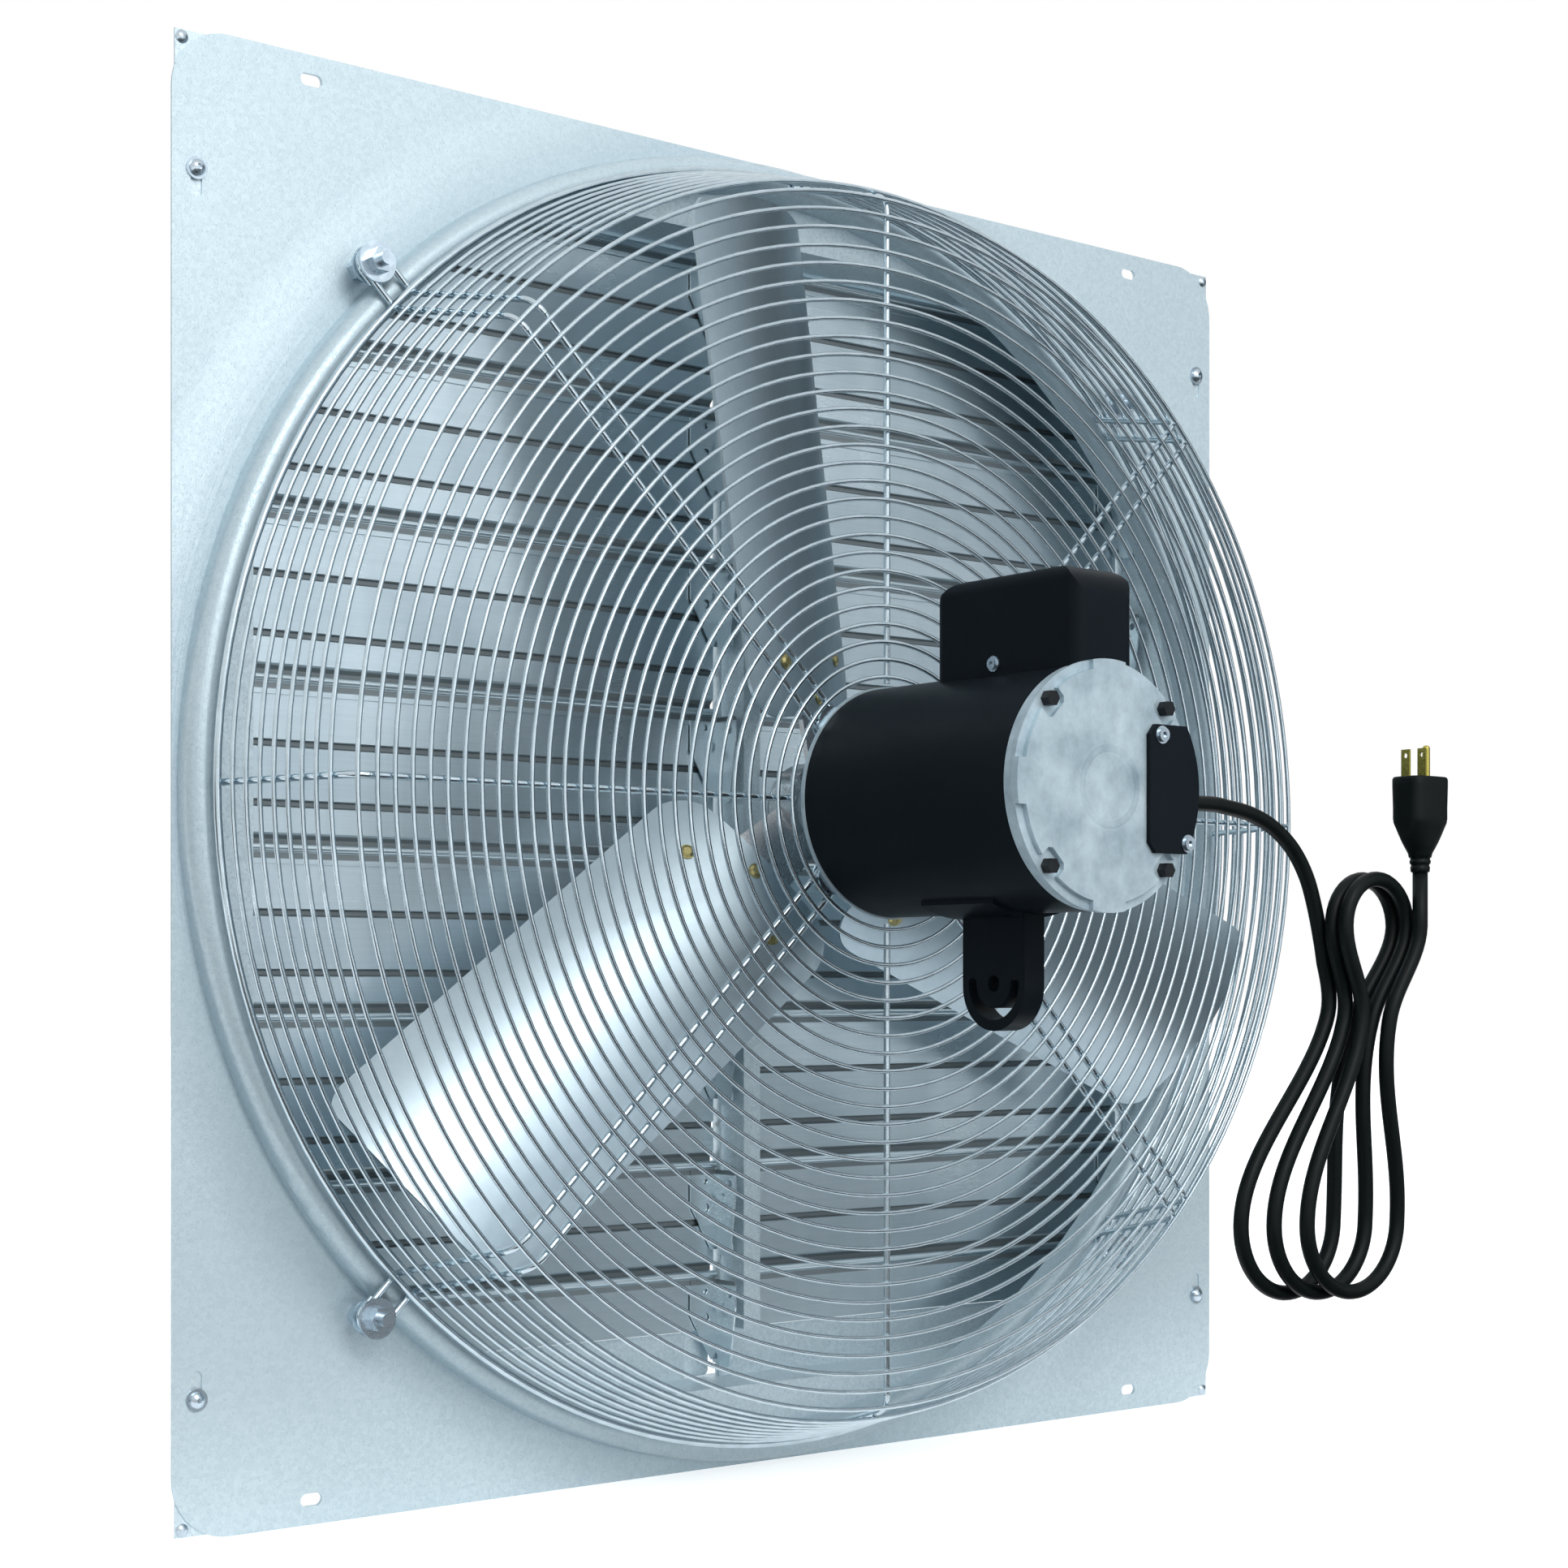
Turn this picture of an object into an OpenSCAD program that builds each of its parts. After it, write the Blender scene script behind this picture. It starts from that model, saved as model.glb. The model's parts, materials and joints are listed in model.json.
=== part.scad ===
// Shutter exhaust fan for a wall opening.
// X runs to the right seen from the motor side, Y runs into the wall and Z is up.
// The origin is on the fan axis, in the plane where the frame flange meets the wall.

/* [Wall panel] */
// Width and height of the square panel
panel_w = 850; // [846:1:900]
// Sheet thickness of the panel
panel_t = 1.2; // [1:0.1:1.5]
// Radius of the panel corners
panel_corner_r = 35; // [25:1:36]
// Distance from a wall slot to the side edge of the panel
slot_from_side = 87.5; // [80:0.5:115]
// Distance from a wall slot to the upper or lower edge of the panel
slot_from_edge = 14.5; // [13:0.5:17]
// Length of a wall slot
wall_slot_l = 14; // [10:1:18]
// Width of a wall slot
wall_slot_w = 7.3; // [5:0.1:8]

/* [Inlet ring] */
// Distance from the foot of the raised ring to the edge of the panel
ring_margin = 3; // [1:0.5:5]
// Width of the raised ring, from its foot to the throat that the blades turn in
ring_w = 21; // [18:0.5:25]
// Height of the raised ring above the panel
ring_h = 17; // [14:1:19]

/* [Shutter frame] */
// How far the frame flange stays inside the edge of the panel
flange_inset = 2.5; // [2.5:0.5:4]
// Width of the frame flange
flange_w = 48.5; // [47:0.5:57]
// Depth of the frame walls into the wall opening
frame_depth = 55; // [53:1:80]
// Sheet thickness of the frame
frame_t = 1.2; // [1:0.1:1.5]
// Height of the upstand behind the lowest louver
sill_h = 31; // [24:1:33]
// Width of the centre post between the two louver banks
post_w = 13.6; // [11:0.2:15]
// Distance from the wall plane to the front of the centre post
post_front = 15.6; // [14:0.2:19]

/* [Louvers] */
// Height of the lowest louver pivot above the bottom of the opening
last_rise = 46.4; // [44:0.2:50]
// Distance from the seventh louver to the short lowest one
last_pitch = 73; // [70:1:76]
// Sheet thickness of a louver
louver_t = 1.2; // [1:0.1:1.5]
// Height of a louver above its pivot
louver_top = 25; // [22:1:26]
// How far each louver laps over the one below
louver_lap = 8; // [5:1:10]
// Radius of the louver pivot pins
pivot_r = 2; // [1.5:0.1:2.4]
// Radius of the pins that carry the tie bar
tie_pin_r = 2; // [1.5:0.1:2.4]
// Distance from a louver pivot down to its tie bar pin
tie_drop = 32; // [28:1:34]

/* [Fan] */
// Gap between the blade tips and the throat
tip_gap = 17.5; // [14:0.5:28]
// Width of a blade at its tip
blade_chord = 152; // [130:1:170]
// Sheet thickness of a blade
blade_t = 2; // [1.5:0.1:3]
// Pitch of the blades
blade_pitch = 25.5; // [20:0.5:28]
// Depth of the curve across a blade
blade_camber = 14.2; // [8:0.2:16]
// Distance from the wall plane to the middle of the blades
blade_z = 54; // [50:1:58]
// Radius of the motor shaft
shaft_r = 6.35; // [5:0.05:8]
// Outside radius of the hub
hub_r = 24; // [20:1:28]

/* [Wire guard] */
// Radius of the spoke wires
spoke_r = 2; // [1.5:0.1:2.3]
// Radius of the ring wires
ring_wire_r = 1.4; // [1:0.1:1.8]
// Radius of the thick ring at the foot of the guard
foot_wire_r = 2.3; // [2:0.1:2.6]
// Number of rings on the face of the guard
face_rings = 28; // [10:1:28]
// Number of rings on the side of the guard
side_rings = 8; // [4:1:9]
// Radius of the smallest face ring
inner_ring_r = 78.5; // [77:0.5:82]
// How far the largest face ring lies inside the corner of the guard
outer_ring_in = 1.8; // [1.8:0.2:8]
// Height of the face rings above the wall plane
face_z = 124.2; // [121:0.2:128]
// Distance between the two wires of a motor support
twin_gap = 16; // [13:0.5:18]

/* [Motor] */
// Radius of the motor shell
motor_r = 71; // [69:0.5:71.5]
// Length of the motor from bell face to bell face
motor_l = 189; // [175:1:210]
// Distance of the long motor bolts from the axis, along X and along Z
bolt_off = 46.6; // [44:0.2:47]
// Thickness of the shell wall
shell_t = 2; // [1.5:0.1:3]
// Width of the mounting lug along the motor
lug_w = 53; // [44:1:60]
// Thickness of the mounting lug
lug_t = 16; // [12:1:20]
// Radius of the hole in the mounting lug
lug_hole_r = 5; // [4:0.1:6]

/* [Cord] */
// Diameter of the mains cord
cord_d = 9.5; // [8:0.5:10]

/* [Hidden] */
$fn = 96;

galv = [0.74, 0.80, 0.83];
zinc = [0.80, 0.84, 0.87];
aluminium = [0.82, 0.84, 0.86];
cast = [0.70, 0.72, 0.73];
black = [0.07, 0.07, 0.08];
rubber = [0.04, 0.04, 0.04];
brass = [0.78, 0.62, 0.30];
copper = [0.70, 0.38, 0.20];
steel = [0.55, 0.57, 0.60];

run_gap = 0.3; // clearance of anything that turns or slides
cut = 1; // how far a cutting tool runs past the sheet it cuts
frame_w = panel_w - 2 * flange_inset;
opening_w = frame_w - 2 * flange_w;
open_r = opening_w / 2;
panel_face = frame_t + panel_t;
wall_slot_x = panel_w - 2 * slot_from_side;
wall_slot_z = panel_w - 2 * slot_from_edge;
ring_foot_r = panel_w / 2 - ring_margin;
throat_r = ring_foot_r - ring_w;
tip_r = throat_r - tip_gap;

// Everything inside is drawn as seen from the motor side, with z off the wall.
module from_wall() {
    rotate([90, 0, 0]) children();
}

// A profile in the plane of Y and Z, run along X from x0.
module along_x(x0, len) {
    translate([x0, 0, 0]) rotate([90, 0, 90]) linear_extrude(len) children();
}

module x_pin(x0, len, y, z, r, fn = 32) {
    translate([x0, y, z]) rotate([0, 90, 0]) cylinder(h = len, r = r, $fn = fn);
}

module slot2d(len, wid) {
    square([len - wid, wid], center = true);
    for (s = [-1, 1])
        translate([s * (len - wid) / 2, 0]) circle(d = wid, $fn = 40);
}

module rounded_square(w, r) {
    square([w - 2 * r, w], center = true);
    square([w, w - 2 * r], center = true);
    for (sx = [-1, 1], sy = [-1, 1])
        translate([sx * (w / 2 - r), sy * (w / 2 - r)]) circle(r = r);
}

module at_corners(x, y) {
    for (sx = [-1, 1], sy = [-1, 1])
        translate([sx * x, sy * y, 0]) children();
}

module hexagon_head(af, h) {
    cylinder(h = h, r = af / sqrt(3), $fn = 6);
}

function arc(c, r, a0, a1, n) =
    [for (i = [0:n]) c + r * [cos(a0 + (a1 - a0) * i / n), sin(a0 + (a1 - a0) * i / n)]];

// Panel, frame and post
screw_from_side = 15;
screw_from_edge = 79;
screw_x = panel_w / 2 - screw_from_side; // panel screws from the axis, side to side
screw_z = panel_w / 2 - screw_from_edge; // panel screws from the axis, up and down
screw_slot_l = 20;
screw_slot_w = 7;
screw_r = 2.4;
screw_head_r = 6.5;
rivet_r = 2.2;
rivet_head_r = 3.8;
corner_rivet = frame_w / 2 - rivet_head_r - 0.4;
bolt_from_side = 118;
bolt_from_edge = 119;
guard_bolt_x = panel_w / 2 - bolt_from_side;
guard_bolt_z = panel_w / 2 - bolt_from_edge;
guard_bolt_r = 4;
crest_r = ring_w / 2 - 0.8; // outer radius of the bead section

module wall_slots() {
    at_corners(wall_slot_x / 2, wall_slot_z / 2)
        translate([0, 0, -cut]) linear_extrude(panel_face + 2 * cut)
            slot2d(wall_slot_l, wall_slot_w);
}

module bead_section(skin) {
    top = panel_face + ring_h - crest_r;
    mid = ring_foot_r - crest_r;
    translate([mid, top]) circle(r = crest_r - skin, $fn = 64);
    polygon([[throat_r + skin, frame_t - skin], [mid - crest_r + skin, top],
             [ring_foot_r - skin, top], [ring_foot_r - skin, frame_t - skin]]);
}

module venturi_panel() {
    color(galv) from_wall() difference() {
        union() {
            translate([0, 0, frame_t]) linear_extrude(panel_t) difference() {
                rounded_square(panel_w, panel_corner_r);
                circle(r = ring_foot_r - panel_t / 2, $fn = 180);
            }
            rotate_extrude($fn = 180) difference() {
                bead_section(0);
                bead_section(panel_t);
            }
        }
        wall_slots();
        for (sx = [-1, 1], sz = [-1, 1])
            translate([sx * screw_x, sz * (screw_z - screw_slot_l / 2 + screw_slot_w / 2), 0])
                rotate([0, 0, 90]) linear_extrude(panel_face + cut)
                    slot2d(screw_slot_l, screw_slot_w);
        at_corners(guard_bolt_x, guard_bolt_z)
            cylinder(h = panel_face + cut, r = guard_bolt_r + run_gap);
    }
}

pivot_y = 31.6; // louver pivots behind the wall plane
blade_off = 8; // front of the louver sheet behind its pivot
pivot_hole_r = pivot_r + run_gap;
post_back = pivot_y + 11;
sill_y = post_back + frame_t;
lip_h = 7;
bank_w = open_r - post_w / 2;
top_gap = 2.4; // between the frame and the top louver
first_pivot = open_r - top_gap - louver_top;
louver_pitch = (first_pivot + open_r - last_rise - last_pitch) / 6;
function pivot_z(i) = first_pivot - louver_pitch * min(i, 6) - last_pitch * max(i - 6, 0);
function louver_len(i) =
    i < 6 ? louver_pitch + louver_lap
    : i == 6 ? last_pitch + louver_lap
    : pivot_z(7) + louver_top + open_r - sill_h - 1;

module web_ring(y0, y1) {
    translate([0, y1, 0]) rotate([90, 0, 0]) linear_extrude(y1 - y0) difference() {
        square(opening_w + 2 * frame_t, center = true);
        square(opening_w, center = true);
    }
}

lever_gap_w = 28; // notch in the sill for the tie bar and the lowest lever

module shutter_frame() {
    color(galv) difference() {
        union() {
            from_wall() linear_extrude(frame_t) difference() {
                square(frame_w, center = true);
                square(opening_w, center = true);
            }
            web_ring(-frame_t, frame_depth);
            translate([-open_r, sill_y, -open_r - frame_t])
                cube([opening_w, frame_t, sill_h + frame_t]);
            translate([-open_r, sill_y + 2, open_r - lip_h]) cube([opening_w, frame_t, lip_h + frame_t]);
        }
        from_wall() wall_slots();
        from_wall() at_corners(corner_rivet, corner_rivet)
            translate([0, 0, -cut]) cylinder(h = frame_t + 2 * cut, r = rivet_r);
        from_wall() at_corners(screw_x, screw_z)
            translate([0, 0, -cut]) cylinder(h = frame_t + 2 * cut, r = screw_r);
        for (i = [0:7]) {
            x_pin(-open_r - frame_t - cut, frame_t + 2 * cut, pivot_y, pivot_z(i), pivot_hole_r);
            x_pin(open_r - cut, frame_t + 2 * cut, pivot_y, pivot_z(i), pivot_hole_r);
        }
        for (x = [-post_w / 2 - lever_gap_w, open_r - lever_gap_w])
            translate([x, sill_y - cut, -open_r]) cube([lever_gap_w - 1.6, frame_t + 2 * cut, sill_h + cut]);
        foot_rivet_hole();
    }
}

// Rivet hole where the foot of the centre post meets the sill
foot_rivet_z = -open_r + 10;
module foot_rivet_hole() {
    translate([0, sill_y - cut, foot_rivet_z]) rotate([-90, 0, 0])
        cylinder(h = frame_t + 2 * cut, r = rivet_r, $fn = 32);
}

post_foot_z = -open_r + sill_h + 3;

module centre_post() {
    color(galv) difference() {
        union() {
            translate([-post_w / 2, post_front, post_foot_z])
                cube([post_w, post_back - post_front, open_r - post_foot_z]);
            translate([-post_w / 2, post_back, -open_r])
                cube([post_w, frame_t, post_foot_z + open_r + 40]);
        }
        translate([-post_w / 2 + frame_t, post_front + frame_t, post_foot_z - cut])
            cube([post_w - 2 * frame_t, post_back - post_front - frame_t, opening_w]);
        for (i = [0:7])
            x_pin(-post_w / 2 - cut, post_w + 2 * cut, pivot_y, pivot_z(i), pivot_hole_r);
        translate([0, post_back - cut, foot_rivet_z]) rotate([-90, 0, 0])
            cylinder(h = frame_t + 2 * cut, r = rivet_r, $fn = 32);
    }
}

// A round head with its shank behind it, along z.
module button(head_r, head_h, shank_r, shank_l) {
    translate([0, 0, -shank_l]) cylinder(h = shank_l + head_h / 4, r = shank_r, $fn = 32);
    intersection() {
        cylinder(h = head_h, r = head_r, $fn = 40);
        translate([0, 0, head_h - head_r * 1.3]) sphere(r = head_r * 1.3, $fn = 40);
    }
}

module frame_rivets() {
    color(zinc) {
        from_wall() at_corners(corner_rivet, corner_rivet)
            translate([0, 0, frame_t]) button(rivet_head_r, 2.2, rivet_r, frame_t);
        translate([0, post_back, foot_rivet_z]) rotate([90, 0, 0])
            button(rivet_head_r, 2.2, rivet_r, 2 * frame_t);
    }
}

module panel_screws() {
    color(zinc) from_wall() at_corners(screw_x, screw_z) translate([0, 0, panel_face]) {
        difference() {
            union() {
                cylinder(h = 1, r = screw_head_r);
                translate([0, 0, 1]) button(4.6, 3.4, screw_r, panel_face + 1 + 6);
            }
            translate([0, 0, 3]) cylinder(h = 3, r = 1.7, $fn = 6);
        }
    }
}

// Louvers. The profile is drawn about the pivot, with Y downstream.
rib_1 = 38.4; // first rib below the louver's top edge
rib_2 = 74;
rib_w = 4.7;
rib_d = 2.2;
hem_r = 2.4;
hem_tail = 12;
lap_off = 3.6;
lever_clear = 0.6; // the sheet stops this far short of the levers
side_gap = 2;
leaf_t = 1.2;
leaf_w = 22;
leaf_x = bank_w - 5.4; // outer face of the lever, from the bank's left wall
tie_pin_y = -4;
tie_t = 1.5;
tie_x = leaf_x + 0.6;

function rib_path(z) = [
    [blade_off, louver_top - z], [blade_off + rib_d, louver_top - z - rib_d / 2],
    [blade_off + rib_d, louver_top - z - rib_w + rib_d / 2], [blade_off, louver_top - z - rib_w]];

function louver_face(len, lap) = concat(
    [[blade_off, louver_top]],
    len > rib_1 + 20 ? rib_path(rib_1) : [],
    len > rib_2 + 20 ? rib_path(rib_2) : [],
    lap ? [[blade_off, louver_top - len + louver_lap + 6.5],
           [blade_off + lap_off, louver_top - len + louver_lap + 3]] : [],
    [[blade_off + (lap ? lap_off : 0), louver_top - len]]);

module louver_profile(len, lap) {
    face = louver_face(len, lap);
    n = len(face);
    polygon(concat(face, [for (i = [n - 1:-1:0]) face[i] + [louver_t, 0]]));
}

module hem_profile() {
    translate([blade_off - louver_t, louver_top - hem_r]) circle(r = hem_r, $fn = 32);
    translate([blade_off - louver_t, louver_top - hem_tail])
        square([2 * louver_t, hem_tail - hem_r]);
}

// Side view of the lever that stands off the louver and carries pivot and tie bar.
module lever_profile() {
    difference() {
        polygon([[blade_off - louver_t, 19], [-14, 19], [-15, 17], [-15, 2],
                 [-9, -tie_drop - 5], [-6, -tie_drop - 6], [0, -tie_drop - 6],
                 [blade_off - louver_t, -tie_drop + 4]]);
        translate([-9, 10]) circle(r = 2.6, $fn = 32);
    }
}

module louver(x0, i) {
    len = louver_len(i);
    lap = i < 7;
    leaf_y = blade_off - louver_t - leaf_t + 0.3;
    translate([x0, pivot_y, pivot_z(i)]) {
        along_x(side_gap, leaf_x - leaf_t - lever_clear - side_gap) louver_profile(len, lap);
        along_x(side_gap, leaf_x - leaf_t - side_gap) hem_profile();
        // flat leaf of the lever bracket, drawn in below
        translate([leaf_x - leaf_w, leaf_y + leaf_t, 0]) rotate([90, 0, 0]) linear_extrude(leaf_t)
            difference() {
                polygon([[0, 19], [leaf_w, 19], [leaf_w, -tie_drop - 2],
                         [leaf_w - 5, -tie_drop - 2], [0, -4]]);
                translate([leaf_w / 2 + 1, 12]) circle(r = 2.2, $fn = 32);
                translate([leaf_w / 2 + 2, -6]) circle(r = 3, $fn = 32);
            }
        along_x(leaf_x - leaf_t, leaf_t) lever_profile();
        x_pin(leaf_x - leaf_t, bank_w + 2.2 - leaf_x + leaf_t, 0, 0, pivot_r);
        x_pin(leaf_x - leaf_t - 1, 1, 0, 0, pivot_r + 1.8);
        x_pin(leaf_x - leaf_t, tie_x + tie_t + run_gap - leaf_x + leaf_t, tie_pin_y, -tie_drop, tie_pin_r);
        x_pin(tie_x + tie_t + run_gap, 1, tie_pin_y, -tie_drop, tie_pin_r + 1.3);
        // ear with the outer pivot
        along_x(side_gap, louver_t)
            polygon([[blade_off + 0.2, 14], [-3, 6], [-4.5, 0], [-3, -5], [blade_off + 0.2, -9]]);
        x_pin(-2.4, side_gap + 2.4 + louver_t, 0, 0, pivot_r);
    }
}

left_x = -open_r;
right_x = post_w / 2;

module left_louver(i) {
    color(aluminium) louver(left_x, i);
}

module right_louver(i) {
    color(aluminium) louver(right_x, i);
}

tie_bar_y = 8; // middle of the bar downstream of the pivots
tie_bar_w = 8;

module tie_bar(x0) {
    top = pivot_z(0) - tie_drop + 8;
    low = pivot_z(7) - tie_drop - 5;
    color(galv) translate([x0 + tie_x, pivot_y, 0]) difference() {
        union() {
            translate([0, tie_bar_y - tie_bar_w / 2, low]) cube([tie_t, tie_bar_w, top - low]);
            for (i = [0:7]) {
                translate([0, tie_pin_y, pivot_z(i) - tie_drop - 5])
                    cube([tie_t, tie_bar_y - tie_pin_y, 10]);
                x_pin(0, tie_t, tie_pin_y, pivot_z(i) - tie_drop, 5);
            }
        }
        for (i = [0:7])
            x_pin(-cut, tie_t + 2 * cut, tie_pin_y, pivot_z(i) - tie_drop, tie_pin_r + run_gap);
    }
}

module left_tie_bar() {
    tie_bar(left_x);
}

module right_tie_bar() {
    tie_bar(right_x);
}

// Fan
hub_l = 38;
arm_t = 3;
root_r = 60;
root_taper = 4; // how much narrower each edge of a blade gets towards its root
tip_corner_r = 22;
root_corner_r = 27;
blade_angles = [98, 218, 338];
camber_r = (blade_chord * blade_chord / 4 + blade_camber * blade_camber) / (2 * blade_camber);
rivet_spots = [[71, 1], [95, 37], [95, -37]];
fan_rivet_r = 2.8;

// Outline of a blade seen square on, with x outwards from the axis
module blade_outline() {
    half = blade_chord / 2;
    root_half = half - root_taper;
    polygon(concat(
        arc([tip_r - tip_corner_r, half - tip_corner_r], tip_corner_r, 0, 90, 8),
        arc([root_r + root_corner_r, root_half - root_corner_r], root_corner_r, 90, 170, 8),
        arc([root_r + root_corner_r, -root_half + root_corner_r], root_corner_r, 190, 270, 8),
        arc([tip_r - tip_corner_r, -half + tip_corner_r], tip_corner_r, 270, 360, 8),
        [[tip_r + 3, 0]]));
}

// Sheet curved across the chord, with its crown at z = 0
module curved_sheet(thick, over) {
    translate([0, 0, -camber_r]) rotate([0, 90, 0]) difference() {
        cylinder(h = tip_r + 40, r = camber_r + over + thick, $fn = 180);
        translate([0, 0, -cut]) cylinder(h = tip_r + 40 + 2 * cut, r = camber_r + over, $fn = 180);
    }
}

module on_blade(i) {
    rotate([0, 0, blade_angles[i]]) translate([0, 0, blade_z])
        rotate([blade_pitch, 0, 0]) translate([0, 0, blade_camber / 2]) children();
}

// Stands square on the curved sheet, with z outwards
module at_rivet(p) {
    translate([p[0], 0, -camber_r]) rotate([-asin(p[1] / camber_r), 0, 0])
        translate([0, 0, camber_r]) children();
}

module rivet_holes() {
    for (p = rivet_spots)
        at_rivet(p) translate([0, 0, -10]) cylinder(h = 20, r = fan_rivet_r, $fn = 32);
}

module blade(i) {
    color(aluminium) from_wall() intersection() {
        on_blade(i) difference() {
            intersection() {
                curved_sheet(blade_t, 0);
                translate([0, 0, -2 * blade_camber]) linear_extrude(3 * blade_camber) blade_outline();
            }
            rivet_holes();
        }
        cylinder(h = 3 * blade_z, r = tip_r, $fn = 180);
    }
}

module spider_arm() {
    intersection() {
        curved_sheet(arm_t, -arm_t);
        translate([0, 0, -2 * blade_camber]) linear_extrude(3 * blade_camber)
            polygon(concat(
                [[8, -17], [58, -22]],
                arc([96, -37], 11, -80, 0, 6),
                arc([96, 37], 11, 0, 80, 6),
                [[58, 22], [8, 17]]));
    }
}

module blade_spider() {
    color(steel) from_wall() difference() {
        union() {
            for (i = [0:2]) on_blade(i) spider_arm();
            translate([0, 0, blade_z - 14]) cylinder(h = 22, r = hub_r + 6);
        }
        translate([0, 0, blade_z - 40]) cylinder(h = 80, r = hub_r);
        for (i = [0:2]) on_blade(i) rivet_holes();
    }
}

rivet_seat = 0.1; // the sheet curves away this much under a rivet head

module blade_rivets() {
    color(brass) from_wall() for (i = [0:2], p = rivet_spots) on_blade(i) at_rivet(p) {
        translate([0, 0, -arm_t - 1]) cylinder(h = arm_t + blade_t + 2, r = fan_rivet_r, $fn = 32);
        translate([0, 0, blade_t + rivet_seat]) cylinder(h = 0.6, r = 5, $fn = 32);
        translate([0, 0, blade_t + rivet_seat + 0.6]) cylinder(h = 1.2, r1 = 4.4, r2 = 2.6, $fn = 32);
    }
}

hub_z0 = blade_z - 16;

module fan_hub() {
    color(cast) from_wall() difference() {
        union() {
            translate([0, 0, hub_z0]) cylinder(h = hub_l, r = hub_r);
            translate([0, 0, hub_z0 - 3]) cylinder(h = 3, r1 = hub_r + 3, r2 = hub_r + 5);
        }
        translate([0, 0, hub_z0 - 5]) cylinder(h = hub_l + 10, r = shaft_r);
        translate([0, 0, hub_z0 + hub_l - 8]) rotate([90, 0, 0])
            cylinder(h = hub_r + 5, r = 3, $fn = 32);
    }
}

module hub_screw() {
    color(black) from_wall() translate([0, 0, hub_z0 + hub_l - 8]) rotate([90, 0, 0]) difference() {
        translate([0, 0, shaft_r]) cylinder(h = hub_r - shaft_r + 2, r = 3, $fn = 32);
        translate([0, 0, hub_r - 2]) cylinder(h = 5, r = 1.5, $fn = 6);
    }
}

// Wire guard
// The side of the guard leans in by 7 in 24, so its sine is 0.28 and its cosine 0.96.
lean = atan2(7, 24);
face_spoke_z = face_z - ring_wire_r - spoke_r;
loop_z = panel_face + ring_h + 0.7 + spoke_r; // support wires pass over the raised ring
foot_z = loop_z + spoke_r + foot_wire_r;
foot_from_ring = 13.6;
foot_r = ring_foot_r - foot_from_ring; // line of the side rings, level with the foot ring
rim_z = face_z - 15.4; // highest side ring
rim_r = foot_r - (rim_z - foot_z) * 7 / 24;
bend_r = 12;
in_off = (ring_wire_r + spoke_r) / 0.96;
foot_ring_r = foot_r + (foot_wire_r - ring_wire_r) / 0.96;

module wire_ring(r, z, wire_r) {
    translate([0, 0, z]) rotate_extrude($fn = 144) translate([r, 0]) circle(r = wire_r, $fn = 16);
}

// Rings beyond the straight part of the spokes sit lower, on the bend.
function ring_z(r) = r < corner_x - cut_back ? face_z
    : face_spoke_z - bend_r + sqrt(pow(bend_r + spoke_r + ring_wire_r, 2) - pow(r - corner_x + cut_back, 2));

module face_ring_row(from, to) {
    color(zinc) from_wall() for (i = [from:to])
        let (r = inner_ring_r + (outer_ring_r - inner_ring_r) * i / (face_rings - 1))
            wire_ring(r, ring_z(r), ring_wire_r);
}

module guard_inner_rings() {
    face_ring_row(0, floor(face_rings / 2) - 1);
}

module guard_outer_rings() {
    face_ring_row(floor(face_rings / 2), face_rings - 1);
}

module guard_side_rings() {
    color(zinc) from_wall() {
        wire_ring(foot_ring_r, foot_z, foot_wire_r);
        for (i = [1:side_rings])
            wire_ring(foot_r + (rim_r - foot_r) * i / side_rings,
                      foot_z + (rim_z - foot_z) * i / side_rings, ring_wire_r);
    }
}

// A wire is laid piece by piece: each piece starts where the last one ended, along z.
// A ball a hair wider than the wire closes every joint.
module knuckle() {
    sphere(r = spoke_r + 0.12, $fn = 24);
}

module straight(len) {
    translate([0, 0, 0.2]) cylinder(h = len - 0.4, r = spoke_r, $fn = 24);
    translate([0, 0, len]) children();
}

module bend(r, a) {
    knuckle();
    translate([r, 0, 0]) {
        mirror([1, 0, 0]) rotate([90, 0, 0]) rotate_extrude(angle = a, $fn = 48)
            translate([r, 0]) circle(r = spoke_r, $fn = 24);
        rotate([0, a, 0]) translate([-r, 0, 0]) {
            knuckle();
            children();
        }
    }
}

// where the centre lines of face and side would cross, and how far the bend cuts back
corner_x = foot_r - in_off - (face_spoke_z - foot_z) * 7 / 24;
outer_ring_r = corner_x - outer_ring_in;
turn = 90 - lean;
cut_back = bend_r * tan(turn / 2);
side_low = foot_z - foot_wire_r;
side_run = (face_spoke_z - side_low) / 0.96 - cut_back;

module guard_spokes() {
    color(zinc) from_wall() for (a = [0, 90, 180, 270])
        rotate([0, 0, a]) translate([inner_ring_r - 4, 0, face_spoke_z]) rotate([0, 90, 0])
            straight(corner_x - cut_back - inner_ring_r + 4) bend(bend_r, turn) straight(side_run);
}

// A motor support is one closed hairpin. It hooks round a motor bolt, runs down the side
// of the guard, passes under the foot ring and hooks round a bolt in the panel.
support_a = atan2(guard_bolt_z, guard_bolt_x);
bolt_ring = norm([guard_bolt_x, guard_bolt_z]);
hook_x = norm([bolt_off, bolt_off]);
foot_bend_r = 7;
foot_back = foot_bend_r * tan(turn / 2);
support_run = (face_spoke_z - loop_z) / 0.96 - cut_back - foot_back;
loop_from = corner_x + (face_spoke_z - loop_z) * 7 / 24 + foot_back;

module half_turn() {
    rotate_extrude(angle = 180, $fn = 48) translate([twin_gap / 2, 0]) circle(r = spoke_r, $fn = 24);
    for (s = [-1, 1]) translate([s * twin_gap / 2, 0, 0]) knuckle();
}

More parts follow.
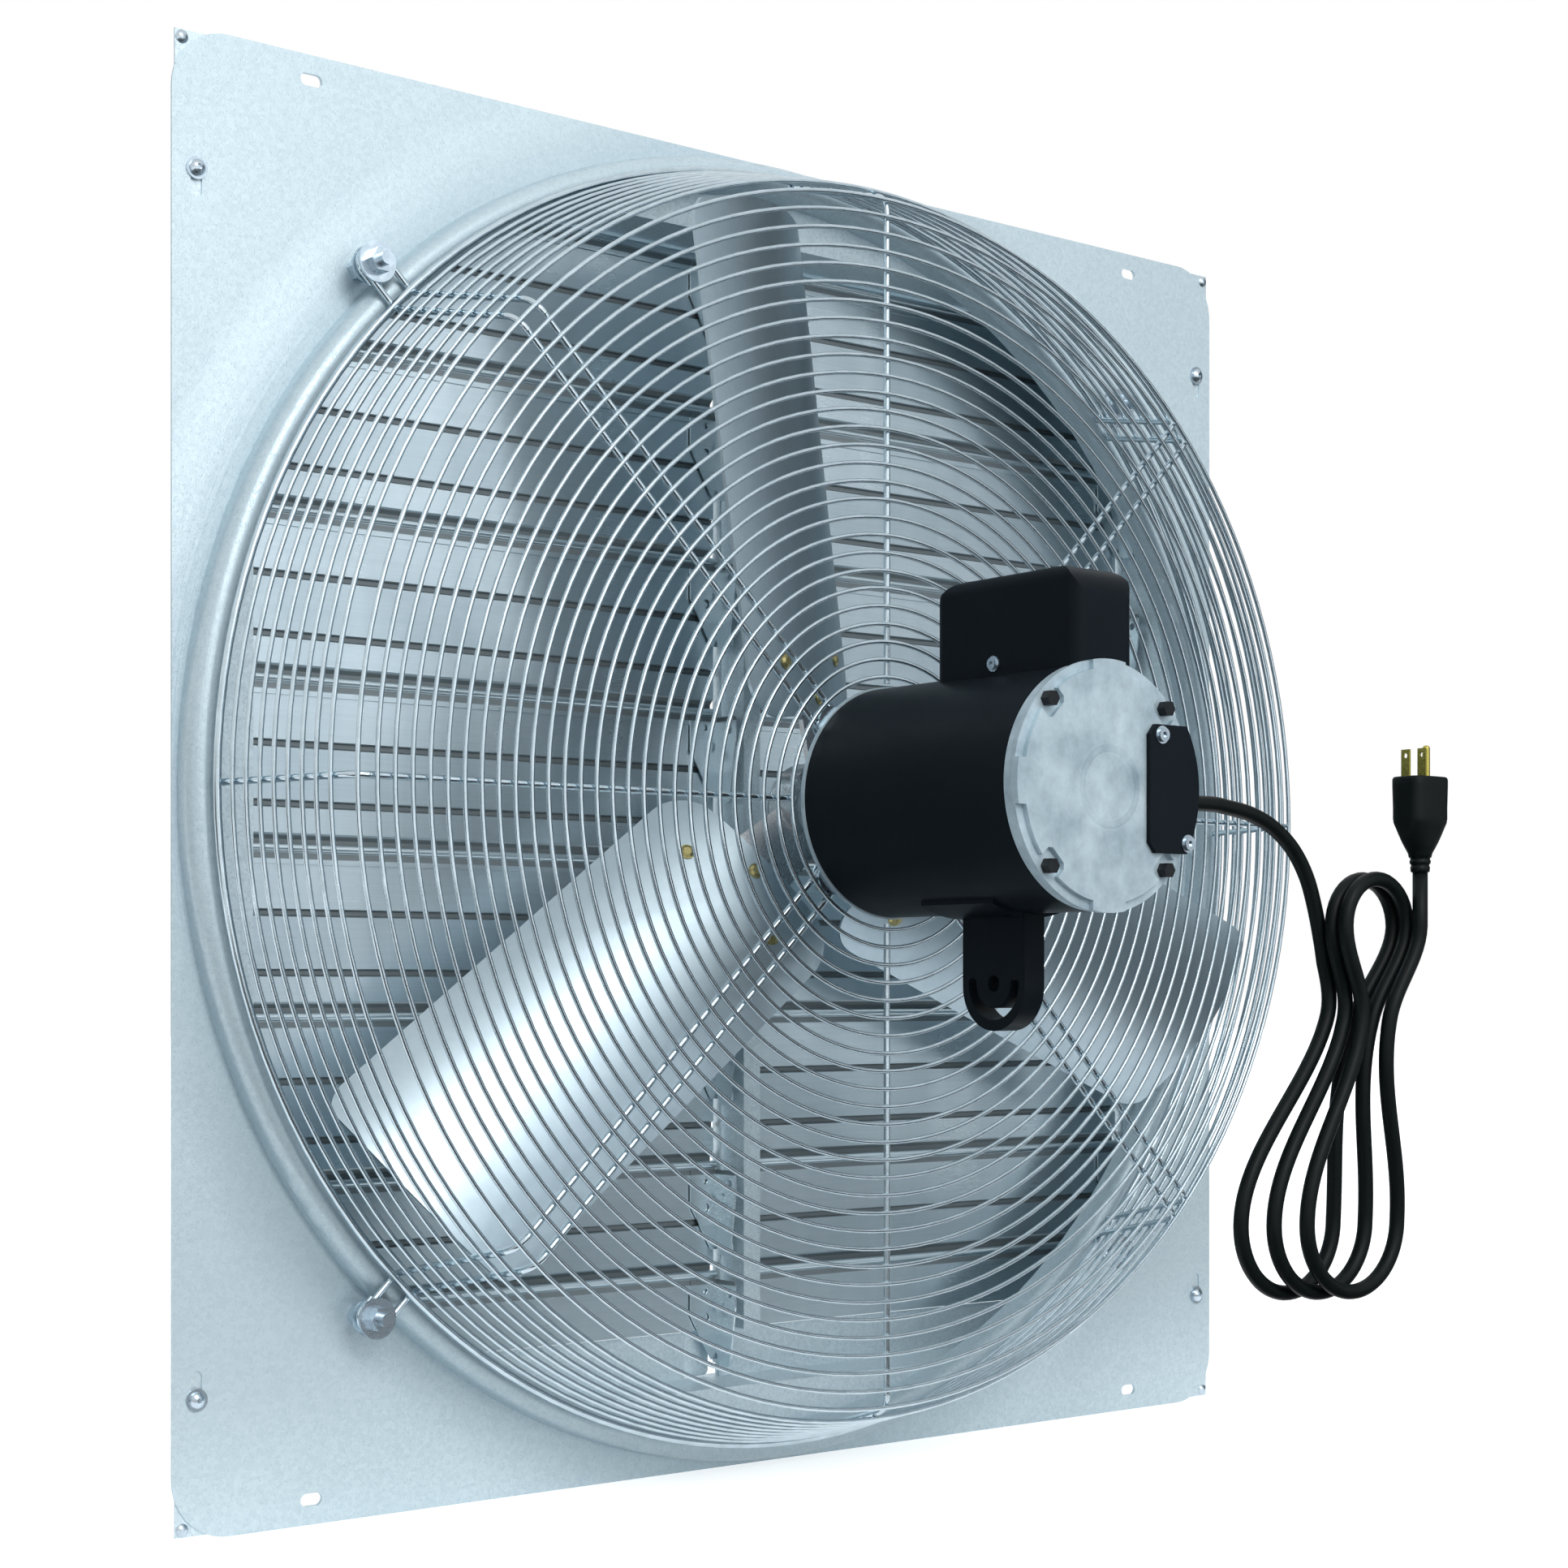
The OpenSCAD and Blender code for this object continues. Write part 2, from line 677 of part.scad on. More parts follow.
module support_wires() {
    translate([hook_x, 0, face_spoke_z]) rotate([0, 0, 90]) half_turn();
    for (s = [-1, 1]) translate([hook_x, s * twin_gap / 2, face_spoke_z]) rotate([0, 90, 0])
        straight(corner_x - cut_back - hook_x) bend(bend_r, turn) straight(support_run)
            mirror([1, 0, 0]) bend(foot_bend_r, turn) straight(bolt_ring - loop_from);
    translate([bolt_ring, 0, loop_z]) rotate([0, 0, -90]) half_turn();
}

// A second, short hairpin lies under each hook, between ring and bolt.
short_z = loop_z - 2 * spoke_r - 0.1;
short_from = ring_foot_r + spoke_r + 1;

module short_hairpin() {
    for (s = [-1, 1]) translate([short_from, s * twin_gap / 2, short_z]) rotate([0, 90, 0])
        straight(bolt_ring - short_from);
    translate([bolt_ring, 0, short_z]) rotate([0, 0, -90]) half_turn();
}

module motor_support_wires() {
    color(zinc) from_wall() for (a = [support_a, 180 - support_a, 180 + support_a, -support_a])
        rotate([0, 0, a]) {
            support_wires();
            short_hairpin();
        }
}

washer_t = 1.8;
washer_r = 12;
nut_h = 6.5;
nut_af = 13;
stack_z = loop_z + spoke_r;
stack_low = short_z - spoke_r;

module guard_bolts() {
    color(zinc) from_wall() at_corners(guard_bolt_x, guard_bolt_z) {
        translate([0, 0, -1.6]) cylinder(h = frame_t + 1.6, r = 10);
        cylinder(h = stack_z + washer_t + nut_h + 5, r = guard_bolt_r);
    }
}

module washer(z, r_out, t, r_in) {
    translate([0, 0, z]) difference() {
        cylinder(h = t, r = r_out);
        translate([0, 0, -cut]) cylinder(h = t + 2 * cut, r = r_in);
    }
}

module nut(z, af, h, r_in) {
    translate([0, 0, z]) difference() {
        hexagon_head(af, h);
        translate([0, 0, -cut]) cylinder(h = h + 2 * cut, r = r_in);
    }
}

module guard_washers() {
    color(zinc) from_wall() at_corners(guard_bolt_x, guard_bolt_z) {
        washer(stack_z, washer_r, washer_t, guard_bolt_r);
        washer(stack_low - 1.2, 11, 1.2, guard_bolt_r);
    }
}

module guard_nuts() {
    color(zinc) from_wall() at_corners(guard_bolt_x, guard_bolt_z) {
        nut(stack_z + washer_t, nut_af, nut_h, guard_bolt_r);
        nut(panel_face, nut_af, stack_low - 1.2 - panel_face, guard_bolt_r);
    }
}

// Motor
motor_z0 = face_spoke_z + spoke_r + 1.6; // bell face that the support wires meet
motor_z1 = motor_z0 + motor_l;
bell_l = 12;
rim_l = 5;
drive_rim = 2.5; // the shell reaches this close to the face of the drive end bell
bell_step = 3.2; // depth of the ledges and bolt pockets in the rear bell
stud_r = 3;
stud_low = face_spoke_z - spoke_r - 1.6 - 5.5;
bearing_r = 20;
bearing_w = 12;
fit = 0.15;
stator_r = motor_r - shell_t;
stator_bore = 36;
stator_l = 90;
stator_z = (motor_z0 + motor_z1 - stator_l) / 2;

module bolt_places() {
    at_corners(bolt_off, bolt_off) children();
}

module motor_shell() {
    color(black) from_wall() difference() {
        translate([0, 0, motor_z0 + drive_rim])
            cylinder(h = motor_l - bell_l - drive_rim, r = motor_r, $fn = 128);
        translate([0, 0, motor_z0]) cylinder(h = motor_l, r = stator_r, $fn = 128);
    }
}

// A bell with its bearing boss; z = 0 is its outer face and it opens along +z.
// The shell slides over it up to out_l from that face.
module bell(out_l) {
    difference() {
        union() {
            cylinder(h = min(rim_l, out_l), r = motor_r + 1, $fn = 128);
            cylinder(h = out_l, r = motor_r, $fn = 128);
            cylinder(h = bell_l, r = stator_r - fit, $fn = 128);
            translate([0, 0, bell_l]) difference() {
                cylinder(h = 6, r = stator_r - fit, $fn = 128);
                translate([0, 0, -cut]) cylinder(h = 6 + 2 * cut, r = stator_r - 4, $fn = 128);
            }
            translate([0, 0, bell_l]) cylinder(h = 8, r = bearing_r + 5);
        }
        translate([0, 0, 7]) difference() {
            cylinder(h = bell_l, r = stator_r - 4, $fn = 128);
            translate([0, 0, -cut]) cylinder(h = bell_l + 2 * cut, r = bearing_r + 5);
            bolt_places() translate([0, 0, -cut]) cylinder(h = bell_l, r = 9);
        }
        translate([0, 0, 8]) cylinder(h = bell_l + 8, r = bearing_r);
        bolt_places() translate([0, 0, -cut]) cylinder(h = bell_l + 10, r = stud_r + run_gap, $fn = 32);
    }
}

module drive_end_bell() {
    color(cast) from_wall() difference() {
        translate([0, 0, motor_z0]) bell(drive_rim);
        translate([0, 0, motor_z0 - cut]) cylinder(h = 2 * bell_l, r = shaft_r + 1.5);
        for (a = [0:60:300]) rotate([0, 0, a + 30]) translate([46, 0, motor_z0 - cut])
            linear_extrude(bell_l) rotate([0, 0, 90]) slot2d(16, 7);
    }
}

module rear_end_bell() {
    color(cast) from_wall() difference() {
        translate([0, 0, motor_z1]) mirror([0, 0, 1]) bell(bell_l);
        // shallow ledges round the rim, between four raised lands
        translate([0, 0, motor_z1 - bell_step]) difference() {
            cylinder(h = bell_step + cut, r = motor_r + 2, $fn = 128);
            translate([0, 0, -cut]) cylinder(h = bell_step + 3 * cut, r = motor_r - 4.5, $fn = 128);
            for (a = [0, 90, 180, 270]) rotate([0, 0, a])
                translate([motor_r - 12, -13, -cut]) cube([16, 26, bell_step + 3 * cut]);
        }
        // a pocket for each bolt head, open to the rim
        for (a = [45, 135, 225, 315]) rotate([0, 0, a])
            translate([hook_x, 0, motor_z1 - bell_step]) linear_extrude(bell_step + cut)
                polygon([[-8.6, -6], [-6, -8.6], [20, -8.6], [20, 8.6], [-6, 8.6], [-8.6, 6]]);
    }
}

module motor_long_bolts() {
    color(black) from_wall() bolt_places() {
        translate([0, 0, stud_low]) cylinder(h = motor_z1 - bell_step - stud_low, r = stud_r, $fn = 32);
        translate([0, 0, motor_z1 - bell_step]) hexagon_head(8, 6);
    }
}

module mount_washers() {
    color(zinc) from_wall() bolt_places() {
        washer(face_spoke_z + spoke_r, 11, 1.6, stud_r);
        washer(face_spoke_z - spoke_r - 1.6, 11, 1.6, stud_r);
    }
}

module mount_nuts() {
    color(zinc) from_wall() bolt_places() nut(stud_low + 1, 10, 4.5, stud_r);
}

module stator_core() {
    color(steel) from_wall() translate([0, 0, stator_z]) difference() {
        cylinder(h = stator_l, r = stator_r - fit, $fn = 128);
        translate([0, 0, -cut]) cylinder(h = stator_l + 2 * cut, r = stator_bore);
        bolt_places() translate([0, 0, -cut]) cylinder(h = stator_l + 2 * cut, r = stud_r + 1);
        for (a = [0:15:345]) rotate([0, 0, a + 7.5])
            translate([stator_bore - 1, -1, -cut]) cube([12, 2, stator_l + 2 * cut]);
    }
}

module stator_windings() {
    color(copper) from_wall() for (z = [stator_z - 20, stator_z + stator_l]) translate([0, 0, z])
        rotate_extrude() translate([stator_bore + 4, 0]) {
            translate([0, 4]) square([13, 12]);
            translate([4, 0]) square([5, 20]);
            for (x = [4, 9], y = [4, 16]) translate([x, y]) circle(r = 4, $fn = 32);
        }
}

module bearing(z) {
    translate([0, 0, z]) difference() {
        cylinder(h = bearing_w, r = bearing_r);
        translate([0, 0, -cut]) cylinder(h = bearing_w + 2 * cut, r = shaft_r + 2);
        translate([0, 0, -cut]) difference() {
            cylinder(h = 1.6 + cut, r = bearing_r - 4);
            translate([0, 0, -cut]) cylinder(h = 5, r = shaft_r + 5);
        }
    }
}

module drive_end_bearing() {
    color(steel) from_wall() bearing(motor_z0 + 8);
}

module rear_bearing() {
    color(steel) from_wall() bearing(motor_z1 - 8 - bearing_w);
}

module motor_shaft() {
    color(steel) from_wall() {
        translate([0, 0, hub_z0 - 8]) cylinder(h = motor_z1 - 9 - hub_z0 + 8, r = shaft_r);
        for (z = [motor_z0 + 8, motor_z1 - 8 - bearing_w]) translate([0, 0, z])
            cylinder(h = bearing_w, r = shaft_r + 2 - run_gap);
    }
}

module rotor_core() {
    color(steel) from_wall() difference() {
        union() {
            translate([0, 0, stator_z]) cylinder(h = stator_l, r = stator_bore - 0.8);
            translate([0, 0, stator_z - 8]) cylinder(h = stator_l + 16, r = stator_bore - 7);
        }
        translate([0, 0, stator_z - 20]) cylinder(h = stator_l + 40, r = shaft_r);
    }
}

// Capacitor housing on top of the shell
cap_w = 46;
cap_setback = 66;
cap_z0 = motor_z0 + cap_setback;
cap_l = 121;
cap_top = motor_r + 55;
cap_round = 22;
cap_corner_r = 8;

module cap_side(grow) {
    len = cap_l - 2 * grow;
    top = cap_top - grow;
    r = cap_round - grow;
    translate([grow, 0]) union() {
        square([len, top - r]);
        translate([r, 0]) square([len - 2 * r, top]);
        for (x = [r, len - r]) translate([x, top - r]) circle(r = r, $fn = 64);
    }
}

// Outline across the motor, with its upper edges rounded
module cap_across(grow) {
    w = cap_w - 2 * grow;
    r = 9;
    translate([-w / 2, 0]) {
        square([w, cap_top - grow - r]);
        translate([r, 0]) square([w - 2 * r, cap_top - grow]);
        for (x = [r, w - r]) translate([x, cap_top - grow - r]) circle(r = r, $fn = 48);
    }
}

// Outline seen from above, its corners rounded
module cap_plan(grow) {
    x = cap_w / 2 - cap_corner_r;
    y = cap_l / 2 - cap_corner_r;
    square([2 * x, cap_l - 2 * grow], center = true);
    square([cap_w - 2 * grow, 2 * y], center = true);
    for (i = [-1, 1], j = [-1, 1]) translate([i * x, j * y]) circle(r = cap_corner_r - grow, $fn = 48);
}

module cap_solid(grow) {
    intersection() {
        translate([-cap_w, 0, cap_z0]) rotate([90, 0, 90])
            linear_extrude(2 * cap_w) mirror_xy() cap_side(grow);
        translate([0, 0, cap_z0 + grow]) linear_extrude(cap_l - 2 * grow) cap_across(grow);
        translate([0, 0, cap_z0 + cap_l / 2]) rotate([-90, 0, 0]) linear_extrude(cap_top) cap_plan(grow);
    }
}

// Side outlines are drawn length first; this swaps the two axes.
module mirror_xy() {
    mirror([1, -1]) children();
}

module capacitor_cover() {
    color(black) from_wall() difference() {
        cap_solid(0);
        for (p = cap_screws) translate([p[0] - 10, p[1], p[2]]) rotate([0, 90, 0])
            cylinder(h = 20, r = 2.2, $fn = 32);
        intersection() {
            cap_solid(2);
            translate([-cap_w, motor_r - 10, cap_z0 - 10]) cube([2 * cap_w, cap_top, cap_l + 20]);
        }
        translate([0, 0, motor_z0]) cylinder(h = motor_l, r = motor_r + 0.05, $fn = 128);
        translate([0, 0, motor_z1 - rim_l - run_gap])
            cylinder(h = rim_l + 2 * cut, r = motor_r + 1 + run_gap, $fn = 128);
    }
}

can_r = 17;
can_l = 84;
can_rise = 4; // height of the can above the shell

module capacitor() {
    color(steel) from_wall() translate([0, motor_r + can_rise + can_r, cap_z0 + 12]) {
        cylinder(h = can_l, r = can_r);
        translate([0, 0, can_l]) cylinder(h = 3, r = can_r - 3);
        for (x = [-6, 6]) translate([x - 0.5, -3, can_l + 3]) cube([1, 6, 8]);
        translate([-5, -can_r - can_rise + 0.1, 20]) cube([10, can_rise + 2, 40]);
    }
}

// Cover plate on the rear bell
plate_t = 3;
plate_x0 = 30;
plate_z = 37;
term_screws = [[39.5, 31], [61, -31]];
cap_screws = [[-cap_w / 2, 74, cap_z0 + 52], [cap_w / 2, 74, cap_z0 + 52]];

module terminal_cover() {
    color(black) from_wall() translate([0, 0, motor_z1]) difference() {
        intersection() {
            cylinder(h = plate_t, r = motor_r, $fn = 128);
            linear_extrude(plate_t) polygon([
                [plate_x0, -plate_z + 6], [plate_x0 + 5, -plate_z], [motor_r, -plate_z],
                [motor_r, plate_z], [plate_x0 + 5, plate_z], [plate_x0, plate_z - 6]]);
        }
        for (p = term_screws) translate([p[0], p[1], -cut])
            cylinder(h = plate_t + 2 * cut, r = 2.2, $fn = 32);
    }
}

module pan_screw(r, grip) {
    difference() {
        union() {
            translate([0, 0, -grip]) cylinder(h = grip + 1, r = 2.2, $fn = 32);
            cylinder(h = 2.6, r = r, $fn = 40);
            cylinder(h = 0.8, r = r + 1.2, $fn = 40);
        }
        translate([0, 0, 1.2]) cylinder(h = 3, r = r / 2.2, $fn = 6);
    }
}

module motor_screws() {
    color(zinc) from_wall() {
        for (p = term_screws) translate([p[0], p[1], motor_z1 + plate_t]) pan_screw(4, plate_t);
        for (p = cap_screws) translate(p) rotate([0, sign(p[0]) * 90, 0]) pan_screw(3.4, 2);
    }
}

// Lug under the motor, with its saddle, pivot hole and half-round slot
lug_z = motor_z0 + 101.5;
lug_low = -140;
lug_hole_y = -112;
lug_slot_r = 18;
lug_slot_w = 7;
saddle_t = 2.5;
saddle_w = 66;
saddle_l = 62;
saddle_back = 36;

module mounting_lug() {
    color(black) from_wall() difference() {
        union() {
            translate([-lug_t / 2, 0, 0]) rotate([90, 0, 90]) linear_extrude(lug_t) mirror_xy()
                translate([lug_z, 0]) {
                    translate([-lug_w / 2, lug_low + lug_w / 2]) square([lug_w, -lug_low - lug_w / 2 - 60]);
                    translate([0, lug_low + lug_w / 2]) circle(r = lug_w / 2, $fn = 96);
                }
            intersection() {
                translate([0, 0, lug_z - saddle_back])
                    cylinder(h = saddle_l, r = motor_r + saddle_t, $fn = 128);
                translate([-saddle_w / 2, -motor_r - 10, lug_z - saddle_back])
                    cube([saddle_w, motor_r, saddle_l]);
            }
        }
        translate([0, 0, motor_z0]) cylinder(h = motor_l, r = motor_r + 0.05, $fn = 128);
        translate([-lug_t, lug_hole_y, lug_z]) rotate([0, 90, 0]) cylinder(h = 2 * lug_t, r = lug_hole_r);
        translate([-lug_t, lug_hole_y, lug_z]) rotate([90, 0, 90]) linear_extrude(2 * lug_t)
            mirror_xy() lug_slot();
    }
}

// Half-round slot below the hole, with round ends
module lug_slot() {
    difference() {
        circle(r = lug_slot_r + lug_slot_w / 2);
        circle(r = lug_slot_r - lug_slot_w / 2);
        translate([-40, 0]) square([80, 40]);
    }
    for (s = [-1, 1]) translate([s * lug_slot_r, 0]) circle(d = lug_slot_w, $fn = 40);
}

// Cord
cord_z = motor_z1 - 28; // distance of the lead from the wall plane
exit_y = -4;
bushing_l = 26;
cord_start = sqrt(motor_r * motor_r - exit_y * exit_y) + bushing_l;
// Route of the lead, across and up, in the plane that it leaves the motor in
lead_route = [
    [127, -5], [150, -8.5], [171, -16], [189, -28.5], [202, -45], [210, -64]];
hank_x_top = 244;
hank_x_low = 203;
hank_top = -76;
hank_low = -260;
hank_top_r = 29.5;
hank_low_r = 43;
waist = 9;
waist_at = 0.32;
fan_out = 18; // how far the bottom bends of the loops lie apart
loop_step = cord_d + 1.1;
loops = 3;
tail = 34;

function ease(u) = (1 - cos(180 * u)) / 2;
function hank_half(s) = s < waist_at
    ? hank_top_r + (waist - hank_top_r) * ease(s / waist_at)
    : waist + (hank_low_r - waist) * ease((s - waist_at) / (1 - waist_at));
function hank_mid(s, k) = hank_x_top + (hank_x_low - hank_x_top + fan_out * (k - 1)) * ease(s);
function run_point(side, s, k, layer) = [
    hank_mid(s, k) + side * hank_half(s), hank_top + (hank_low - hank_top) * s, cord_z + layer * loop_step];
function low_bend(k, a) = [
    hank_mid(1, k) - hank_low_r * cos(a), hank_low - hank_low_r * sin(a), cord_z + k * loop_step];
function top_bend(k, a) = [
    hank_x_top + hank_top_r * cos(a), hank_top + hank_top_r * sin(a), cord_z + k * loop_step];

run_steps = 8;
low_steps = 5;
top_steps = 3;
hank_points = concat(
    [for (k = [0:loops - 1]) each concat(
        [for (i = [k == 0 ? 1 : 0:run_steps]) run_point(-1, i / run_steps, k, k)],
        [for (i = [1:low_steps]) low_bend(k, 180 * i / (low_steps + 1))],
        [for (i = [0:run_steps]) run_point(1, 1 - i / run_steps, k, k + i / run_steps)],
        k < loops - 1 ? [for (i = [1:top_steps]) top_bend(k + 1, 180 * i / (top_steps + 1))] : [])],
    [[hank_x_top + hank_top_r, hank_top + tail, cord_z + loops * loop_step]]);
lead_points = concat(
    [[cord_start, exit_y, cord_z], [cord_start + 20, exit_y, cord_z]],
    [for (p = lead_route) [p[0], p[1], cord_z]],
    [hank_points[0] - 14 * unit(hank_points[1] - hank_points[0]), hank_points[0]]);

// Least distance between the surfaces of parts of the hank that do not follow on
function cord_gap(pts) = min([for (i = [0:len(pts) - 1], j = [0:len(pts) - 1])
    if (j > i + 4) norm(pts[i] - pts[j])]) - cord_d;
echo(least_hank_gap = cord_gap(hank_points));

function unit(v) = v / norm(v);
function heading(pts, i) = unit(pts[min(i + 1, len(pts) - 1)] - pts[max(i - 1, 0)]);
function ring_at(p, dir, r, n) =
    let (side = unit(cross(dir, [0, 0, 1])), up = cross(side, dir))
    [for (j = [0:n - 1]) p + r * (side * cos(360 * j / n) + up * sin(360 * j / n))];

// One tube along the points, closed at both ends
module tube(pts, r, n) {
    rings = [for (i = [0:len(pts) - 1]) ring_at(pts[i], heading(pts, i), r, n)];
    m = len(pts);
    polyhedron(
        points = concat([for (g = rings) each g], [pts[0], pts[m - 1]]),
        faces = concat(
            [for (i = [0:m - 2], j = [0:n - 1]) let (a = i * n + j, b = i * n + (j + 1) % n)
                each [[a, a + n, b], [b, a + n, b + n]]],
            [for (j = [0:n - 1]) [j, (j + 1) % n, m * n]],
            [for (j = [0:n - 1]) [(m - 1) * n + (j + 1) % n, (m - 1) * n + j, m * n + 1]]));
}

module cord_bushing() {
    color(rubber) from_wall() translate([0, exit_y, cord_z]) rotate([0, 90, 0]) difference() {
        union() {
            translate([0, 0, motor_r - 4]) cylinder(h = 8, r = 10);
            translate([0, 0, motor_r + 4]) cylinder(h = cord_start - motor_r - 4, r1 = 8.5, r2 = 6.2);
        }
        rotate([0, -90, 0]) translate([0, -exit_y, -40]) cylinder(h = 80, r = motor_r + 0.05, $fn = 128);
    }
}

module power_lead() {
    color(rubber) from_wall() tube(lead_points, cord_d / 2, 8);
}

module cord_hank() {
    color(rubber) from_wall() tube(hank_points, cord_d / 2, 6);
}

// Mains plug standing on the end of the cord
plug_x = hank_x_top + hank_top_r;
plug_low = hank_top + tail;
plug_neck = 14;
plug_l = 46;
plug_w = 34;
plug_d = 25;

module plug_section(w, d) {
    r = 7;
    square([w - 2 * r, d], center = true);
    square([w, d - 2 * r], center = true);
    for (sx = [-1, 1], sy = [-1, 1]) translate([sx * (w / 2 - r), sy * (d / 2 - r)]) circle(r = r, $fn = 40);
}

module at_plug(up) {
    translate([plug_x, -(cord_z + loops * loop_step), plug_low + up]) children();
}

module plug_body() {
    color(rubber) {
        at_plug(0) cylinder(h = plug_neck, r1 = 6, r2 = 7.5);
        at_plug(plug_neck) hull() {
            linear_extrude(1) plug_section(20, 18);
            translate([0, 0, 16]) linear_extrude(1) plug_section(plug_w, plug_d);
        }
        at_plug(plug_neck + 17) linear_extrude(plug_l - 17) plug_section(plug_w, plug_d);
    }
}

module plug_blades() {
    color(brass) at_plug(plug_neck + plug_l) {
        for (y = [-6.35, 6.35]) translate([-6 - 0.75, y - 3.2, 0]) difference() {
            cube([1.5, 6.4, 17.5]);
            translate([-cut, 3.2, 13.5]) rotate([0, 90, 0]) cylinder(h = 4, r = 1.6, $fn = 32);
        }
        translate([6, 0, 0]) cylinder(h = 18, r = 2.4, $fn = 32);
        translate([6, 0, 18]) sphere(r = 2.4, $fn = 32);
    }
}

venturi_panel();
shutter_frame();
centre_post();
frame_rivets();
panel_screws();
guard_inner_rings();
guard_outer_rings();
guard_side_rings();
guard_spokes();
motor_support_wires();
guard_bolts();
guard_washers();
guard_nuts();
motor_shell();
drive_end_bell();
rear_end_bell();
motor_long_bolts();
mount_washers();
mount_nuts();
stator_core();
stator_windings();
drive_end_bearing();
rear_bearing();
capacitor_cover();
capacitor();
motor_screws();
terminal_cover();
mounting_lug();
cord_bushing();
power_lead();
cord_hank();
plug_body();
plug_blades();
motor_shaft();
rotor_core();
fan_hub();
hub_screw();
blade_spider();
blade(0);  // blade_1
blade(1);  // blade_2
blade(2);  // blade_3
blade_rivets();
left_louver(0);  // left_louver_1
left_louver(1);  // left_louver_2
left_louver(2);  // left_louver_3
left_louver(3);  // left_louver_4
left_louver(4);  // left_louver_5
left_louver(5);  // left_louver_6
left_louver(6);  // left_louver_7
left_louver(7);  // left_louver_8
right_louver(0);  // right_louver_1
right_louver(1);  // right_louver_2
right_louver(2);  // right_louver_3
right_louver(3);  // right_louver_4
right_louver(4);  // right_louver_5
right_louver(5);  // right_louver_6
right_louver(6);  // right_louver_7
right_louver(7);  // right_louver_8
left_tie_bar();
right_tie_bar();
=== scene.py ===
import json
import math

import bpy
import numpy as np
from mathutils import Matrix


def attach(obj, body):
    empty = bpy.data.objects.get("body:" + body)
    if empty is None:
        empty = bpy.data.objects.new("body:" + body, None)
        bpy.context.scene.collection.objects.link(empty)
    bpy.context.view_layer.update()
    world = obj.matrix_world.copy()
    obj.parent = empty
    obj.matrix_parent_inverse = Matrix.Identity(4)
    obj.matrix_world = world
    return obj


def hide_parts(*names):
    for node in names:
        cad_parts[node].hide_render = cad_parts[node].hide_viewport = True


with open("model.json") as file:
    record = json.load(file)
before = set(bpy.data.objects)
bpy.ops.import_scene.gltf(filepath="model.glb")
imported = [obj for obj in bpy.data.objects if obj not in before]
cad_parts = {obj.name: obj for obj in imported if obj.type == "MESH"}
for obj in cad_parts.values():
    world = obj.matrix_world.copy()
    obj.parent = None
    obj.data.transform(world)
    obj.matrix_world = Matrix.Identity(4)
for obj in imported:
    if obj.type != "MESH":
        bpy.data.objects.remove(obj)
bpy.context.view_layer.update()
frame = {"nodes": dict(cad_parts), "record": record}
nodes = frame["nodes"]
print("frame loaded:", len(nodes), "nodes")


def addToScene(name, data):
    thing = bpy.data.objects.new(name, data)
    bpy.context.scene.collection.objects.link(thing)
    return thing


# Camera: same standing point and lens as the photograph
camera = {
    "place": (-1.0929, -1.3825, -0.1135),
    "turn": (math.radians(90), 0, math.radians(-38.7)),
    "lens": 61.5,
    "sensor": 36,
    "shiftY": 0.1289,
    "clipEnd": 50,
}
camData = bpy.data.cameras.new("photoCamera")
camData.lens = camera["lens"]
camData.sensor_width = camera["sensor"]
camData.shift_y = camera["shiftY"]
camData.clip_end = camera["clipEnd"]
cam = addToScene("photoCamera", camData)
cam.location = camera["place"]
cam.rotation_euler = camera["turn"]
bpy.context.scene.camera = cam


def offWall(points):
    # drawing plane (across, up, off the wall) in mm to row frame in metres: x, -off, up
    p = np.asarray(points, float) / 1000
    return np.stack([p[:, 0], -p[:, 2], p[:, 1]], 1)


def gridMesh(name, rings):
    # rings is an array (m, n, 3): m sections of n points, joined by quads, with a fan on each end
    m, n, _ = rings.shape
    i, j = np.meshgrid(np.arange(m - 1), np.arange(n), indexing="ij")
    a = i * n + j
    b = i * n + (j + 1) % n
    faces = np.stack([a, b, b + n, a + n], -1).reshape(-1, 4).tolist()
    verts = rings.reshape(-1, 3).tolist()
    for base, ring, flip in ((0, rings[0], True), ((m - 1) * n, rings[-1], False)):
        centre = len(verts)
        verts.append(np.mean(ring, axis=0).tolist())
        for k in range(n):
            p, q = base + k, base + (k + 1) % n
            faces.append([centre, q, p] if flip else [centre, p, q])
    mesh = bpy.data.meshes.new(name)
    mesh.from_pydata(verts, [], faces)
    mesh.update()
    mesh.shade_smooth()
    return addToScene(name, mesh)


def smoothPath(points, per):
    # Catmull-Rom: each stretch is the cubic through its two ends with the slope of the neighbours
    p = np.vstack([2 * points[0] - points[1], points, 2 * points[-1] - points[-2]])
    t = np.linspace(0, 1, per, endpoint=False)[None, :, None]
    p0, p1, p2, p3 = (p[k:len(p) - 3 + k][:, None, :] for k in range(4))
    body = 0.5 * (2 * p1 + (p2 - p0) * t + (2 * p0 - 5 * p1 + 4 * p2 - p3) * t ** 2
                  + (3 * p1 - p0 - 3 * p2 + p3) * t ** 3)
    return np.vstack([body.reshape(-1, 3), points[-1]])


def tubeRings(path, radius, sides):
    # circle of the radius round each path point, in the plane square to the path, without twist
    d = np.gradient(path, axis=0)
    d /= np.linalg.norm(d, axis=1)[:, None]
    side = np.cross(d, [0.0, 1.0, 0.0])
    side /= np.linalg.norm(side, axis=1)[:, None]
    up = np.cross(side, d)
    a = np.linspace(0, 2 * np.pi, sides, endpoint=False)[None, :, None]
    return path[:, None, :] + radius * (side[:, None, :] * np.cos(a) - up[:, None, :] * np.sin(a))


